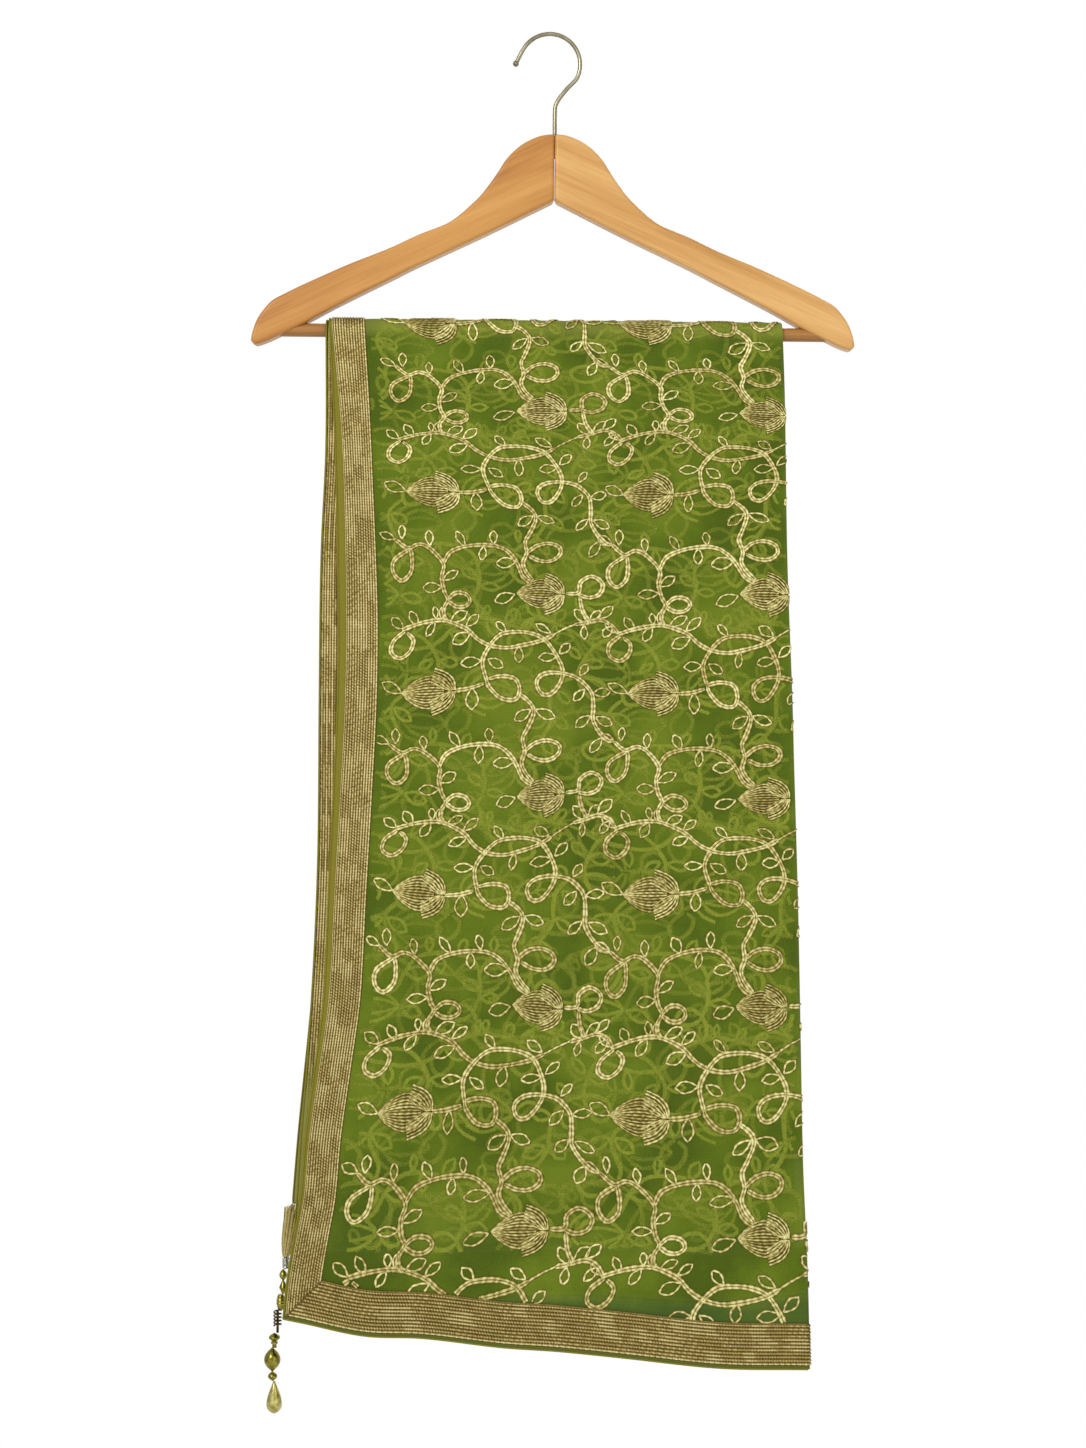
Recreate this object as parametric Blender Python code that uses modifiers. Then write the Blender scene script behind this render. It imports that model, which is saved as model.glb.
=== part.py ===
"""Dupatta stole, folded lengthwise and hung over the rod of a wooden hanger.

Lengths are millimetres, turned into metres as each mesh is made. The origin is the seat of the
hook on its rail, +Z is up and the front of the hanger faces -Y.
"""

import math
from collections import namedtuple

import bmesh
import bpy
from mathutils import Vector

MM = 0.001

# Hanger sizes
CENTRE_X = 4.3            # shank and mitre of the arms, right of the hook's seat
TILT = math.radians(0.58)  # the hanger hangs a little low on its right side
WOOD_THICKNESS = 14.0
WOOD_EDGE = 2.6
WOOD_EDGE_STEPS = 2
ROD_RADIUS = 5.0
ROD_Z = -221.3
ROD_HALF_LENGTH = 212.7
ROD_SIDES = 24
FIT_GAP = 0.3
HOOK_WIRE_RADIUS = 1.6
HOOK_ARC_RADIUS = 22.7
HOOK_ARC_CENTRE = (0.07, -21.1)
HOOK_ARC_START = 152.0    # degrees, at the ball's side
HOOK_ARC_END = -28.0
HOOK_ARC_STEPS = 18
HOOK_LIP_RUN = (5.2, 10.4)  # from the ball to the start of the arc
HOOK_BALL_RADIUS = 2.3
HOOK_BALL_ROWS = (0.07, 0.27, 0.47, 0.67, 0.87)
HOOK_BALL_POLE = 0.6
HOOK_NECK = [(13.2, -39.2), (8.1, -45.6), (5.4, -50.4), (CENTRE_X, -56.0)]
SHANK_DEPTH = 17.0        # how far the hook's shank goes into the wood
WOOD_TOP_Z = -74.3

# Cloth sizes
WALL = 1.0                # thickness of one layer of net
RIBBON_WALL = 1.0
SEAM = 0.22               # half the seam between the front and back ribbons at the crest
ROD_WRAP_STEPS = 8        # rows of the stretch that lies over the rod
ROD_WRAP_LINES = (0.0, 0.25, 0.5, 0.75, 1.0)
LAY_GAP = 0.45            # what is sewn on a layer stands this far off its coarse wall
INNER_RADIUS = 7.3        # middle of the inner layer's wall round the rod
OUTER_RADIUS = 8.7
INNER_SPREAD = 3.5        # how far a layer has moved out from plumb at the hem
OUTER_SPREAD = 5.5
SPREAD_DROP = 740.0
HEM_RIBBON = 31.0
HEM_EDGING = 2.6
INNER_MARGIN = 0.6        # bare net outside the side ribbon of an inner layer
FOLD_COLUMNS = [1.25, 1.5, 1.75, 2.0]
RIBBON_WRAP = 0.4         # share of the fold that the hem ribbon turns round

# Vine applique
VINE_RISE = 0.9
VINE_LIFT = 0.65
CHART_PITCH_X = 160.0     # one repeat of the pattern, in the chart's own millimetres
CHART_PITCH_Y = 149.0
CHART_WIDTH = 330.0       # the folded cloth's width in the chart's millimetres
COLUMN_SHARE = 0.2187     # place of the left column's large bud across the cloth
COLUMN_LEAN = 0.0067      # how far the columns lean to the left with each repeat
FOLD_CLEARANCE = 2.2      # the vine's edge keeps this far from the fold
FOLD_CENTRE_CLEARANCE = 4.8
STATION_GAP = 4.0         # nearer places on the vine are left out

Edge = namedtuple("Edge", "z x")
Hem = namedtuple("Hem", "across drop")
Outline = namedtuple("Outline", "out z")
VineRow = namedtuple("VineRow", "x down half_width")
Repeat = namedtuple("Repeat", "row along")
Wave = namedtuple("Wave", "depth cycles phase lean")
Hang = namedtuple("Hang", "side radius spread left right hem wave is_outer")

# Side ribbon by length of cloth from the rod's crest: bare net outside it, and its own width
OUTER_MARGINS = [(0.0, 2.2), (110.0, 6.0), (300.0, 6.2), (720.0, 2.2)]
SIDE_RIBBON_WIDTHS = [(0.0, 24.3), (110.0, 21.4), (240.0, 23.4), (720.0, 23.6)]

# Long edges of the hanging cloth: height against place
FRONT_OUTER_LEFT = [
    Edge(-211.9, -164.1), Edge(-307.9, -159.4), Edge(-419.5, -157.2), Edge(-493.9, -157.6),
    Edge(-568.3, -160.8), Edge(-642.7, -164.4), Edge(-717.1, -167.6), Edge(-769.2, -174.0),
    Edge(-821.2, -180.8), Edge(-865.9, -184.4), Edge(-895.6, -189.4), Edge(-928.4, -194.6),
    Edge(-956.0, -197.4),
]
FRONT_INNER_LEFT = [
    Edge(-211.9, -166.2), Edge(-307.9, -166.3), Edge(-389.7, -169.9), Edge(-493.9, -171.3),
    Edge(-605.5, -172.2), Edge(-679.9, -174.8), Edge(-754.3, -179.3), Edge(-821.2, -184.6),
    Edge(-880.7, -188.6), Edge(-945.0, -193.0),
]
BACK_OUTER_LEFT = [
    Edge(-211.9, -164.1), Edge(-400.0, -162.6), Edge(-570.0, -168.0), Edge(-642.7, -174.2),
    Edge(-717.1, -178.9), Edge(-821.2, -189.3), Edge(-872.0, -193.6),
]
BACK_INNER_LEFT = [
    Edge(-211.9, -163.0), Edge(-400.0, -161.0), Edge(-570.0, -164.5), Edge(-717.1, -173.0),
    Edge(-821.2, -178.0), Edge(-890.0, -180.0),
]
FOLD_RIGHT = [
    Edge(-211.9, 172.6), Edge(-270.7, 174.5), Edge(-389.7, 176.2), Edge(-493.9, 179.8),
    Edge(-538.5, 180.9), Edge(-642.7, 183.8), Edge(-717.1, 185.3), Edge(-836.1, 187.6),
    Edge(-880.7, 189.5), Edge(-925.4, 191.4), Edge(-991.6, 192.8),
]

# Length of each hang from the rod's crest, across its width
FRONT_OUTER_HEM = [
    Hem(0.0, 747.8), Hem(0.04, 750.6), Hem(0.155, 759.3), Hem(0.26, 761.2), Hem(0.41, 768.1),
    Hem(0.525, 770.3), Hem(0.66, 774.5), Hem(0.84, 780.5), Hem(1.0, 782.1),
]
FRONT_INNER_HEM = [
    Hem(0.0, 729.2), Hem(0.3, 732.0), Hem(0.55, 727.5), Hem(0.82, 730.5), Hem(1.0, 724.7),
]
BACK_OUTER_HEM = [
    Hem(0.0, 669.0), Hem(0.25, 659.0), Hem(0.6, 643.0), Hem(1.0, 627.0),
]
BACK_INNER_HEM = [
    Hem(0.0, 682.0), Hem(0.35, 678.0), Hem(0.7, 682.0), Hem(1.0, 686.0),
]

FRONT_WAVES = [Wave(2.6, 1.45, 0.15, 0.9), Wave(0.5, 3.1, 0.55, -0.7)]
BACK_WAVES = [Wave(2.4, 1.25, 0.60, -0.8), Wave(0.5, 2.8, 0.10, 0.9)]

FRONT_OUTER = Hang(-1, OUTER_RADIUS, OUTER_SPREAD, FRONT_OUTER_LEFT, FOLD_RIGHT,
                   FRONT_OUTER_HEM, FRONT_WAVES, True)
FRONT_INNER = Hang(-1, INNER_RADIUS, INNER_SPREAD, FRONT_INNER_LEFT, FOLD_RIGHT,
                   FRONT_INNER_HEM, FRONT_WAVES, False)
BACK_OUTER = Hang(1, OUTER_RADIUS, OUTER_SPREAD, BACK_OUTER_LEFT, FOLD_RIGHT,
                  BACK_OUTER_HEM, BACK_WAVES, True)
BACK_INNER = Hang(1, INNER_RADIUS, INNER_SPREAD, BACK_INNER_LEFT, FOLD_RIGHT,
                  BACK_INNER_HEM, BACK_WAVES, False)

# Length of cloth down the front from the rod's crest to each row of large buds; the rows with
# negative numbers lie down the back
REPEAT_ROWS = [
    Repeat(-6, -930.0), Repeat(-5, -772.0), Repeat(-4, -610.0), Repeat(-3, -450.0),
    Repeat(-2, -290.0), Repeat(-1, -128.0), Repeat(0, 8.0), Repeat(1, 136.0), Repeat(2, 282.0),
    Repeat(3, 432.0), Repeat(4, 595.0), Repeat(5, 768.0), Repeat(6, 940.0),
]

# One repeat of the applique, from the tip of the upper bud round the scroll to the lower bud,
# and back under it to the next repeat. It never crosses itself.
VINE_REPEAT = [
    VineRow(-19, 0, 1.5), VineRow(-12, 0, 8.5), VineRow(-2, 1, 13.0), VineRow(8, 1, 14.0),
    VineRow(15, 0, 3.0), VineRow(27, -2, 2.0), VineRow(36, -10, 2.0), VineRow(38, -25, 2.0),
    VineRow(48, -38, 2.0), VineRow(64, -41, 2.0), VineRow(79, -33, 2.0), VineRow(87, -18, 2.0),
    VineRow(84, -2, 2.0), VineRow(77, 12, 2.0), VineRow(79, 28, 2.0), VineRow(91, 39, 2.0),
    VineRow(101, 51, 2.0), VineRow(104, 66, 2.0), VineRow(99, 77, 3.0), VineRow(92, 78, 14.0),
    VineRow(83, 78, 13.0), VineRow(73, 77, 8.5), VineRow(65, 76, 1.8), VineRow(54, 69, 2.0),
    VineRow(40, 62, 2.0), VineRow(25, 64, 2.0), VineRow(12, 76, 2.0), VineRow(6, 92, 2.0),
    VineRow(11, 108, 2.0), VineRow(8, 122, 2.0), VineRow(-5, 129, 2.0), VineRow(-20, 130, 2.0),
    VineRow(-29, 139, 1.8),
]

# Upper outline of one arm from the mitre to the shoulder tip, then back along its lower edge
ARM_OUTLINE = [
    Outline(0.0, -74.3), Outline(10.0, -75.6), Outline(21.2, -80.4), Outline(29.5, -86.6),
    Outline(36.2, -93.9), Outline(42.0, -103.0), Outline(48.1, -111.9), Outline(55.0, -120.8),
    Outline(63.0, -128.7), Outline(71.5, -136.2), Outline(81.0, -142.3), Outline(101.0, -150.4),
    Outline(122.8, -160.7), Outline(150.9, -172.1), Outline(171.0, -181.1),
    Outline(188.8, -189.4), Outline(199.3, -194.7), Outline(209.0, -200.1),
    Outline(215.4, -207.0), Outline(220.2, -214.3), Outline(223.5, -223.2),
    Outline(224.7, -229.6), Outline(222.3, -233.2), Outline(213.8, -230.8),
    Outline(203.3, -225.9), Outline(182.3, -215.5), Outline(163.0, -204.9),
    Outline(138.8, -192.5), Outline(118.6, -182.3), Outline(101.0, -173.3),
    Outline(50.0, -149.0), Outline(0.0, -124.0),
]

# Tassel beads from the knot down, each seated on the one above
Bead = namedtuple("Bead", "name diameter height shape metal")
Sway = namedtuple("Sway", "z x")
BEADS = [
    Bead("tassel_knot", 5.6, 8.8, "round", "silver"),
    Bead("tassel_top_pair", 6.2, 18.7, "ball_and_bicone", "olive_gold"),
    Bead("tassel_ribbed", 6.8, 11.4, "ribbed", "olive_gold"),
    Bead("tassel_coil", 6.6, 17.1, "coil", "dark_brass"),
    Bead("tassel_ball_neck", 8.4, 10.9, "necked", "olive_gold"),
    Bead("tassel_oval", 12.4, 17.4, "oval", "olive_gold"),
    Bead("tassel_ball_low", 7.0, 7.1, "round", "olive_gold"),
    Bead("tassel_drop", 11.8, 23.7, "drop", "pale_gold"),
]
TASSEL_SWAY = [
    Sway(-1019.6, -207.4), Sway(-1004.0, -208.6), Sway(-991.4, -208.8), Sway(-977.0, -207.2),
    Sway(-962.6, -204.8), Sway(-948.1, -202.4), Sway(-932.8, -200.6), Sway(-918.7, -198.6),
]
TASSEL_Y = 12.0
KNOT_TOP_Z = -914.3
BEAD_SIDES = 14
BEAD_END = 0.32           # flat ends of a bead, as a share of its radius
TOP_BALL_SHARE = 0.47     # share of the top pair's height that is its ball

# Outline of the drop bead: share of its height down from the top, share of its radius
DROP_ROWS = [(0.0, 0.08), (0.19, 0.42), (0.43, 0.79), (0.62, 0.97), (0.75, 1.0), (0.85, 0.9),
             (0.93, 0.66), (1.0, 0.28)]

# Tuft of thread: its head sits on the knot and its threads spread up to the cloth's corner
TUFT_TOP_OFFSET = (2.4, -0.4, -0.4)
TUFT_HEAD_HEIGHT = 5.0
TUFT_HEAD_RADIUS = 2.6
TUFT_TOP_RADIUS = 7.2
TUFT_GRID = 6
TUFT_STATIONS = (0.35, 0.7, 1.0)

# Colours: red, green, blue, roughness, metallic
FINISHES = {
    "net": (0.21, 0.32, 0.03, 0.75, 0.0),
    "gota": (0.60, 0.42, 0.13, 0.42, 0.7),
    "wood": (0.70, 0.41, 0.14, 0.45, 0.0),
    "steel": (0.36, 0.33, 0.28, 0.35, 1.0),
    "thread": (0.50, 0.38, 0.16, 0.7, 0.0),
    "silver": (0.75, 0.74, 0.70, 0.25, 1.0),
    "olive_gold": (0.42, 0.36, 0.10, 0.3, 0.9),
    "dark_brass": (0.16, 0.10, 0.05, 0.4, 0.9),
    "pale_gold": (0.62, 0.52, 0.22, 0.25, 0.9),
}


def clear_scene():
    for thing in list(bpy.data.objects):
        bpy.data.objects.remove(thing)


def new_collection(name):
    collection = bpy.data.collections.new(name)
    bpy.context.scene.collection.children.link(collection)
    return collection


def finish_material(finish):
    name = "finish_" + finish
    found = bpy.data.materials.get(name)
    if found:
        return found
    red, green, blue, roughness, metallic = FINISHES[finish]
    material = bpy.data.materials.new(name)
    material.use_nodes = True
    shader = material.node_tree.nodes["Principled BSDF"]
    shader.inputs["Base Color"].default_value = (red, green, blue, 1.0)
    shader.inputs["Roughness"].default_value = roughness
    shader.inputs["Metallic"].default_value = metallic
    return material


def between(low, high, share):
    return low + (high - low) * share


def smooth_step(value):
    value = min(max(value, 0.0), 1.0)
    return value * value * (3.0 - 2.0 * value)


def read_table(rows, at):
    """Value of the second column where the first column is `at`, eased between the rows."""
    rows = sorted(rows)
    if at <= rows[0][0]:
        return rows[0][1]
    if at >= rows[-1][0]:
        return rows[-1][1]
    index = max(i for i, row in enumerate(rows) if row[0] <= at)
    low, high = rows[index], rows[index + 1]
    share = (at - low[0]) / (high[0] - low[0])
    before = rows[max(index - 1, 0)]
    after = rows[min(index + 2, len(rows) - 1)]
    span = high[0] - low[0]
    slope_low = (high[1] - before[1]) / (high[0] - before[0])
    slope_high = (after[1] - low[1]) / (after[0] - low[0])
    square, cube = share * share, share ** 3
    return (
        (2 * cube - 3 * square + 1) * low[1]
        + (cube - 2 * square + share) * span * slope_low
        + (-2 * cube + 3 * square) * high[1]
        + (cube - square) * span * slope_high
    )


def rod_height(x):
    return ROD_Z - math.sin(TILT) * (x - CENTRE_X)


def wave_depth(hang, across, below):
    """How far the soft folds push the cloth along Y, growing from nothing at the rod."""
    total = 0.0
    for wave in hang.wave:
        turn = wave.cycles * across + wave.phase + wave.lean * below / 1400.0
        total += wave.depth * math.sin(math.tau * turn)
    return total * smooth_step(below / 520.0)


def fold_radius(below):
    spread = (OUTER_SPREAD - INNER_SPREAD) * below / SPREAD_DROP
    return (OUTER_RADIUS - INNER_RADIUS + spread) / 2.0


def cloth_point(hang, across, drop):
    """Middle of a layer's wall: `across` is 0 at its left edge, 1 at the start of the fold and
    2 at the fold's end; `drop` is the length of cloth down from the rod's crest."""
    quarter = hang.radius * math.pi / 2.0
    arc = min(drop / hang.radius, math.pi / 2.0)
    below = max(drop - quarter, 0.0)
    height = ROD_Z + hang.radius * math.cos(arc) - below
    bend = fold_radius(below)
    left = read_table(hang.left, height)
    right = read_table(hang.right, height) - bend
    flat = min(across, 1.0)
    turn = max(across - 1.0, 0.0) * math.pi
    if hang.is_outer:
        x = between(left, right, flat) + bend * math.sin(turn)
        lift = bend * (1.0 - math.cos(turn))
    else:
        x = between(left, right - FIT_GAP, flat)
        lift = 0.0
    depth = (hang.radius - lift) * math.sin(arc) + hang.spread * below / SPREAD_DROP
    if below > 0.0:
        depth = hang.radius - lift + hang.spread * below / SPREAD_DROP
    y = hang.side * depth + wave_depth(hang, flat, below)
    z = rod_height(x) + (hang.radius - lift) * math.cos(arc) - below
    return Vector((x, y, z))


def cloth_normal(hang, across, drop):
    """Unit normal on the face that is seen: away from the rod."""
    step_across, step_drop = 0.002, 0.25
    along_x = cloth_point(hang, across + step_across, drop) - cloth_point(
        hang, across - step_across if across > step_across else across, drop)
    along_drop = cloth_point(hang, across, drop + step_drop) - cloth_point(
        hang, across, max(drop - step_drop, 0.0))
    normal = along_x.cross(along_drop).normalized()
    return -normal if hang.side < 0 else normal


def hem_drop(hang, across):
    return read_table(hang.hem, min(across, 1.0))


def width_at(hang, drop):
    height = ROD_Z - max(drop - hang.radius, 0.0)
    return read_table(hang.right, height) - read_table(hang.left, height)


def mesh_object(name, points, faces, finish, collection):
    """Closed mesh from points in millimetres, with every face turned outward."""
    mesh = bpy.data.meshes.new(name)
    mesh.from_pydata([tuple(c * MM for c in point) for point in points], [], faces)
    edit = bmesh.new()
    edit.from_mesh(mesh)
    bmesh.ops.recalc_face_normals(edit, faces=edit.faces)
    edit.to_mesh(mesh)
    edit.free()
    mesh.materials.append(finish_material(finish))
    thing = bpy.data.objects.new(name, mesh)
    collection.objects.link(thing)
    return thing


def stand(hang, across, drop, offset):
    """Point that stands `offset` out from the middle of a layer."""
    return cloth_point(hang, across, drop) + cloth_normal(hang, across, drop) * offset


def closed_wall(name, under, over, finish, collection):
    """Closed wall between two sheets, each given as rows of points."""
    rows, columns = len(under), len(under[0])
    points = [point for sheet in (under, over) for row in sheet for point in row]
    sheet = rows * columns
    faces = []
    for i in range(rows - 1):
        for j in range(columns - 1):
            a = i * columns + j
            quad = (a, a + 1, a + columns + 1, a + columns)
            faces.append(quad)
            faces.append(tuple(sheet + corner for corner in reversed(quad)))
    rim = list(range(columns))
    rim += [i * columns + columns - 1 for i in range(1, rows)]
    rim += [(rows - 1) * columns + j for j in range(columns - 2, -1, -1)]
    rim += [i * columns for i in range(rows - 2, 0, -1)]
    for here, there in zip(rim, rim[1:] + rim[:1]):
        faces.append((there, here, sheet + here, sheet + there))
    return mesh_object(name, points, faces, finish, collection)


def wall(name, hang, grid, under, over, finish, collection):
    """Closed wall on a hang: `grid` holds rows of (across, drop), `under` and `over` are how
    far its two faces stand out from the middle of the layer."""
    sheets = [[[stand(hang, across, drop, offset) for across, drop in row] for row in grid]
              for offset in (under, over)]
    return closed_wall(name, sheets[0], sheets[1], finish, collection)


def body_drops(hang, end, steps):
    """Drops from the crest to `end`: close together round the rod, even below it."""
    quarter = hang.radius * math.pi / 2.0
    drops = [SEAM] + [quarter * share for share in (0.28, 0.52, 0.76, 1.0)]
    drops += [between(quarter, end, (i + 1) / steps) for i in range(steps)]
    return drops


def ribbon_share(hang, drop, share):
    """Place across the layer of a line down its side ribbon: 0 its outer edge, 1 its inner."""
    margin = read_table(OUTER_MARGINS, drop) if hang.is_outer else INNER_MARGIN
    return (margin + share * read_table(SIDE_RIBBON_WIDTHS, drop)) / width_at(hang, drop)


def net_columns(hang, drop, columns):
    """Even columns over the net between the side ribbon and the fold."""
    start = ribbon_share(hang, drop, 1.0)
    return [between(start, 1.0, i / columns) for i in range(1, columns + 1)]


def over_rod(name, collection):
    """Stretch of both layers, pressed together, that lies over the rod between the hangs."""
    reach = math.pi / 2.0 - FIT_GAP / 2.0 / INNER_RADIUS
    sheets = []
    for front, back, offset in ((FRONT_INNER, BACK_INNER, -WALL / 2.0),
                                (FRONT_OUTER, BACK_OUTER, WALL / 2.0)):
        sheet = []
        for step in range(ROD_WRAP_STEPS + 1):
            turn = between(-reach, reach, step / ROD_WRAP_STEPS)
            hang = back if turn < 0.0 else front
            sheet.append([stand(hang, line, abs(turn) * hang.radius, offset)
                          for line in ROD_WRAP_LINES])
        sheets.append(sheet)
    return closed_wall(name, sheets[0], sheets[1], "net", collection)


def layer_wall(name, hang, columns, steps, collection):
    """One hang of a layer, with grid lines along the edges of the ribbons that it carries."""
    fold = FOLD_COLUMNS if hang.is_outer else []
    lines = [0.0, 0.0, 0.04, 0.08] + net_columns(hang, hem_drop(hang, 0.0), columns) + fold
    start = hang.radius * math.pi / 2.0 + FIT_GAP / 2.0
    grid = []
    for level in range(steps + 4):
        row = []
        for index, line in enumerate(lines):
            hem = hem_drop(hang, line)
            ribbon_top = hem - HEM_EDGING - HEM_RIBBON
            drops = [between(start, ribbon_top, i / steps) for i in range(steps + 1)]
            drops += [hem - HEM_EDGING - HEM_RIBBON / 2.0, hem - HEM_EDGING, hem]
            drop = drops[level]
            places = [0.0] + [ribbon_share(hang, drop, share) for share in (0.0, 0.5, 1.0)]
            places += net_columns(hang, drop, columns) + fold
            row.append((places[index], drop))
        grid.append(row)
    return wall(name, hang, grid, -WALL / 2.0, WALL / 2.0, "net", collection)


def ribbon_faces(hang):
    """Offsets of a ribbon's two faces: outside an outer layer, rod side of an inner one."""
    near = WALL / 2.0 + LAY_GAP
    far = near + RIBBON_WALL
    return (near, far) if hang.is_outer else (-far, -near)


def mitre_point(hang, share):
    """Point on the diagonal where the side and hem ribbons meet: share 0 at the corner."""
    rough = hem_drop(hang, 0.0) - HEM_EDGING - HEM_RIBBON * share
    across = ribbon_share(hang, rough, share)
    return across, hem_drop(hang, across) - HEM_EDGING - HEM_RIBBON * share


def side_ribbon(name, hang, steps, collection):
    """Ribbon down the long edge, its foot cut on the mitre."""
    grid = []
    for level in range(steps + 5):
        row = []
        for share in (0.0, 0.5, 1.0):
            foot = mitre_point(hang, share)[1] - 2.0 * FIT_GAP
            drop = body_drops(hang, foot, steps)[level]
            row.append((ribbon_share(hang, drop, share), drop))
        grid.append(row)
    under, over = ribbon_faces(hang)
    return wall(name, hang, grid, under, over, "gota", collection)


def hem_ribbon(name, hang, columns, collection):
    """Ribbon along the short hem, mitred at the side ribbon and turned into the fold."""
    fold = [1.0 + RIBBON_WRAP / 2.0, 1.0 + RIBBON_WRAP] if hang.is_outer else []
    grid = []
    for share in (0.0, 0.5, 1.0):
        row = []
        start, first_drop = mitre_point(hang, share)
        start += FIT_GAP / width_at(hang, first_drop)
        stops = net_columns(hang, first_drop, columns)
        for across in [start, between(start, stops[0], 0.5)] + stops + fold:
            row.append((across, hem_drop(hang, across) - HEM_EDGING - HEM_RIBBON * share))
        grid.append(row)
    under, over = ribbon_faces(hang)
    return wall(name, hang, grid, under, over, "gota", collection)


def chart_to_cloth(x, y):
    """Share across the cloth and length along it of a place in the vine's chart."""
    row = y / CHART_PITCH_Y
    share = COLUMN_SHARE - COLUMN_LEAN * abs(row) + x / CHART_WIDTH
    return share, read_table(REPEAT_ROWS, row)


def chart_fold(y):
    """Place of the fold across the vine's chart."""
    return (1.0 - COLUMN_SHARE + COLUMN_LEAN * abs(y) / CHART_PITCH_Y) * CHART_WIDTH


def vine_stations(hang, column, repeats):
    """Chart places and half widths of one column of the vine, as far as the hang carries it."""
    rod_turn = hang.radius * math.pi / 2.0
    runs = [[]]
    for repeat in repeats:
        for row in VINE_REPEAT:
            y = repeat * CHART_PITCH_Y + row.down
            x = min(column * CHART_PITCH_X + row.x, chart_fold(y) - FOLD_CENTRE_CLEARANCE)
            if runs[-1] and math.dist((x, y), runs[-1][-1][:2]) < STATION_GAP:
                continue
            share, along = chart_to_cloth(x, y)
            drop = along * -hang.side
            limit = hem_drop(hang, share) - HEM_EDGING - HEM_RIBBON
            if drop - row.half_width > rod_turn and drop + row.half_width < limit - 2.0:
                runs[-1].append((x, y, row.half_width))
            else:
                runs.append([])
    return max(runs, key=len)


def vine_run(name, hang, column, repeats, collection):
    """Raised band that follows the vine and widens into each bud."""
    stations = vine_stations(hang, column, repeats)
    left_side, right_side = [], []
    for index, (x, y, half_width) in enumerate(stations):
        before = stations[max(index - 1, 0)]
        after = stations[min(index + 1, len(stations) - 1)]
        along = Vector((after[0] - before[0], after[1] - before[1])).normalized()
        for side, rail in ((-1.0, left_side), (1.0, right_side)):
            edge_x = x - along.y * half_width * side
            edge_y = y + along.x * half_width * side
            share, length = chart_to_cloth(edge_x, edge_y)
            drop = max(length * -hang.side, 1.0)
            limit = 1.0 - FOLD_CLEARANCE / width_at(hang, drop)
            rail.append((min(share, limit), drop))
    under = WALL / 2.0 + VINE_LIFT
    return wall(name, hang, [left_side, right_side], under, under + VINE_RISE, "gota", collection)


def hanger_frame(collection):
    """Empty at the hook's seat that tilts the whole hanger."""
    frame = bpy.data.objects.new("hanger_tilt", None)
    frame.rotation_euler = (0.0, TILT, 0.0)
    collection.objects.link(frame)
    return frame


def add_bevel(thing, width, segments):
    bevel = thing.modifiers.new("rounded_edges", "BEVEL")
    bevel.width = width * MM
    bevel.segments = segments
    bevel.limit_method = "ANGLE"
    bevel.angle_limit = math.radians(35.0)


def add_cut(thing, cutter):
    cut = thing.modifiers.new("bore", "BOOLEAN")
    cut.operation = "DIFFERENCE"
    cut.object = cutter


def make_cylinder(name, radius, depth, sides, place, rotation, collection):
    bpy.ops.mesh.primitive_cylinder_add(
        vertices=sides, radius=radius * MM, depth=depth * MM,
        location=[c * MM for c in place], rotation=rotation)
    thing = bpy.context.object
    thing.name = name
    for owner in list(thing.users_collection):
        owner.objects.unlink(thing)
    collection.objects.link(thing)
    return thing


def make_arm(name, side, cutters, frame, collection):
    """Half of the wooden yoke: a flat outline given its thickness and rounded edges."""
    points = []
    for row in ARM_OUTLINE[::side]:
        out = max(row.out, FIT_GAP / 2.0)
        points.append(((CENTRE_X + side * out) * MM, 0.0, row.z * MM))
    mesh = bpy.data.meshes.new(name)
    mesh.from_pydata(points, [], [tuple(range(len(points)))])
    mesh.materials.append(finish_material("wood"))
    arm = bpy.data.objects.new(name, mesh)
    collection.objects.link(arm)
    board = arm.modifiers.new("board", "SOLIDIFY")
    board.thickness = WOOD_THICKNESS * MM
    board.offset = 0.0
    add_bevel(arm, WOOD_EDGE, WOOD_EDGE_STEPS)
    for cutter in cutters:
        add_cut(arm, cutter)
    arm.parent = frame
    return arm


def hook_stations():
    """Places along the hook's middle with its radius: the ball, the arc, the neck, the shank."""
    centre_x, centre_z = HOOK_ARC_CENTRE
    start = math.radians(HOOK_ARC_START)
    end = math.radians(HOOK_ARC_END)
    tip_x = centre_x + HOOK_ARC_RADIUS * math.cos(start) - HOOK_LIP_RUN[0]
    tip_z = centre_z + HOOK_ARC_RADIUS * math.sin(start) - HOOK_LIP_RUN[1]
    run = Vector(HOOK_LIP_RUN).normalized()
    stations = []
    for share in HOOK_BALL_ROWS:
        angle = math.pi * share
        reach = -HOOK_BALL_RADIUS * math.cos(angle)
        least = HOOK_WIRE_RADIUS if share > 0.5 else HOOK_BALL_POLE
        radius = max(HOOK_BALL_RADIUS * math.sin(angle), least)
        stations.append((tip_x + run.x * reach, tip_z + run.y * reach, radius))
    for step in range(HOOK_ARC_STEPS + 1):
        angle = between(start, end, step / HOOK_ARC_STEPS)
        stations.append((centre_x + HOOK_ARC_RADIUS * math.cos(angle),
                         centre_z + HOOK_ARC_RADIUS * math.sin(angle), HOOK_WIRE_RADIUS))
    shank = [(CENTRE_X, WOOD_TOP_Z), (CENTRE_X, WOOD_TOP_Z - SHANK_DEPTH)]
    stations += [(x, z, HOOK_WIRE_RADIUS) for x, z in HOOK_NECK + shank]
    return stations


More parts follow.
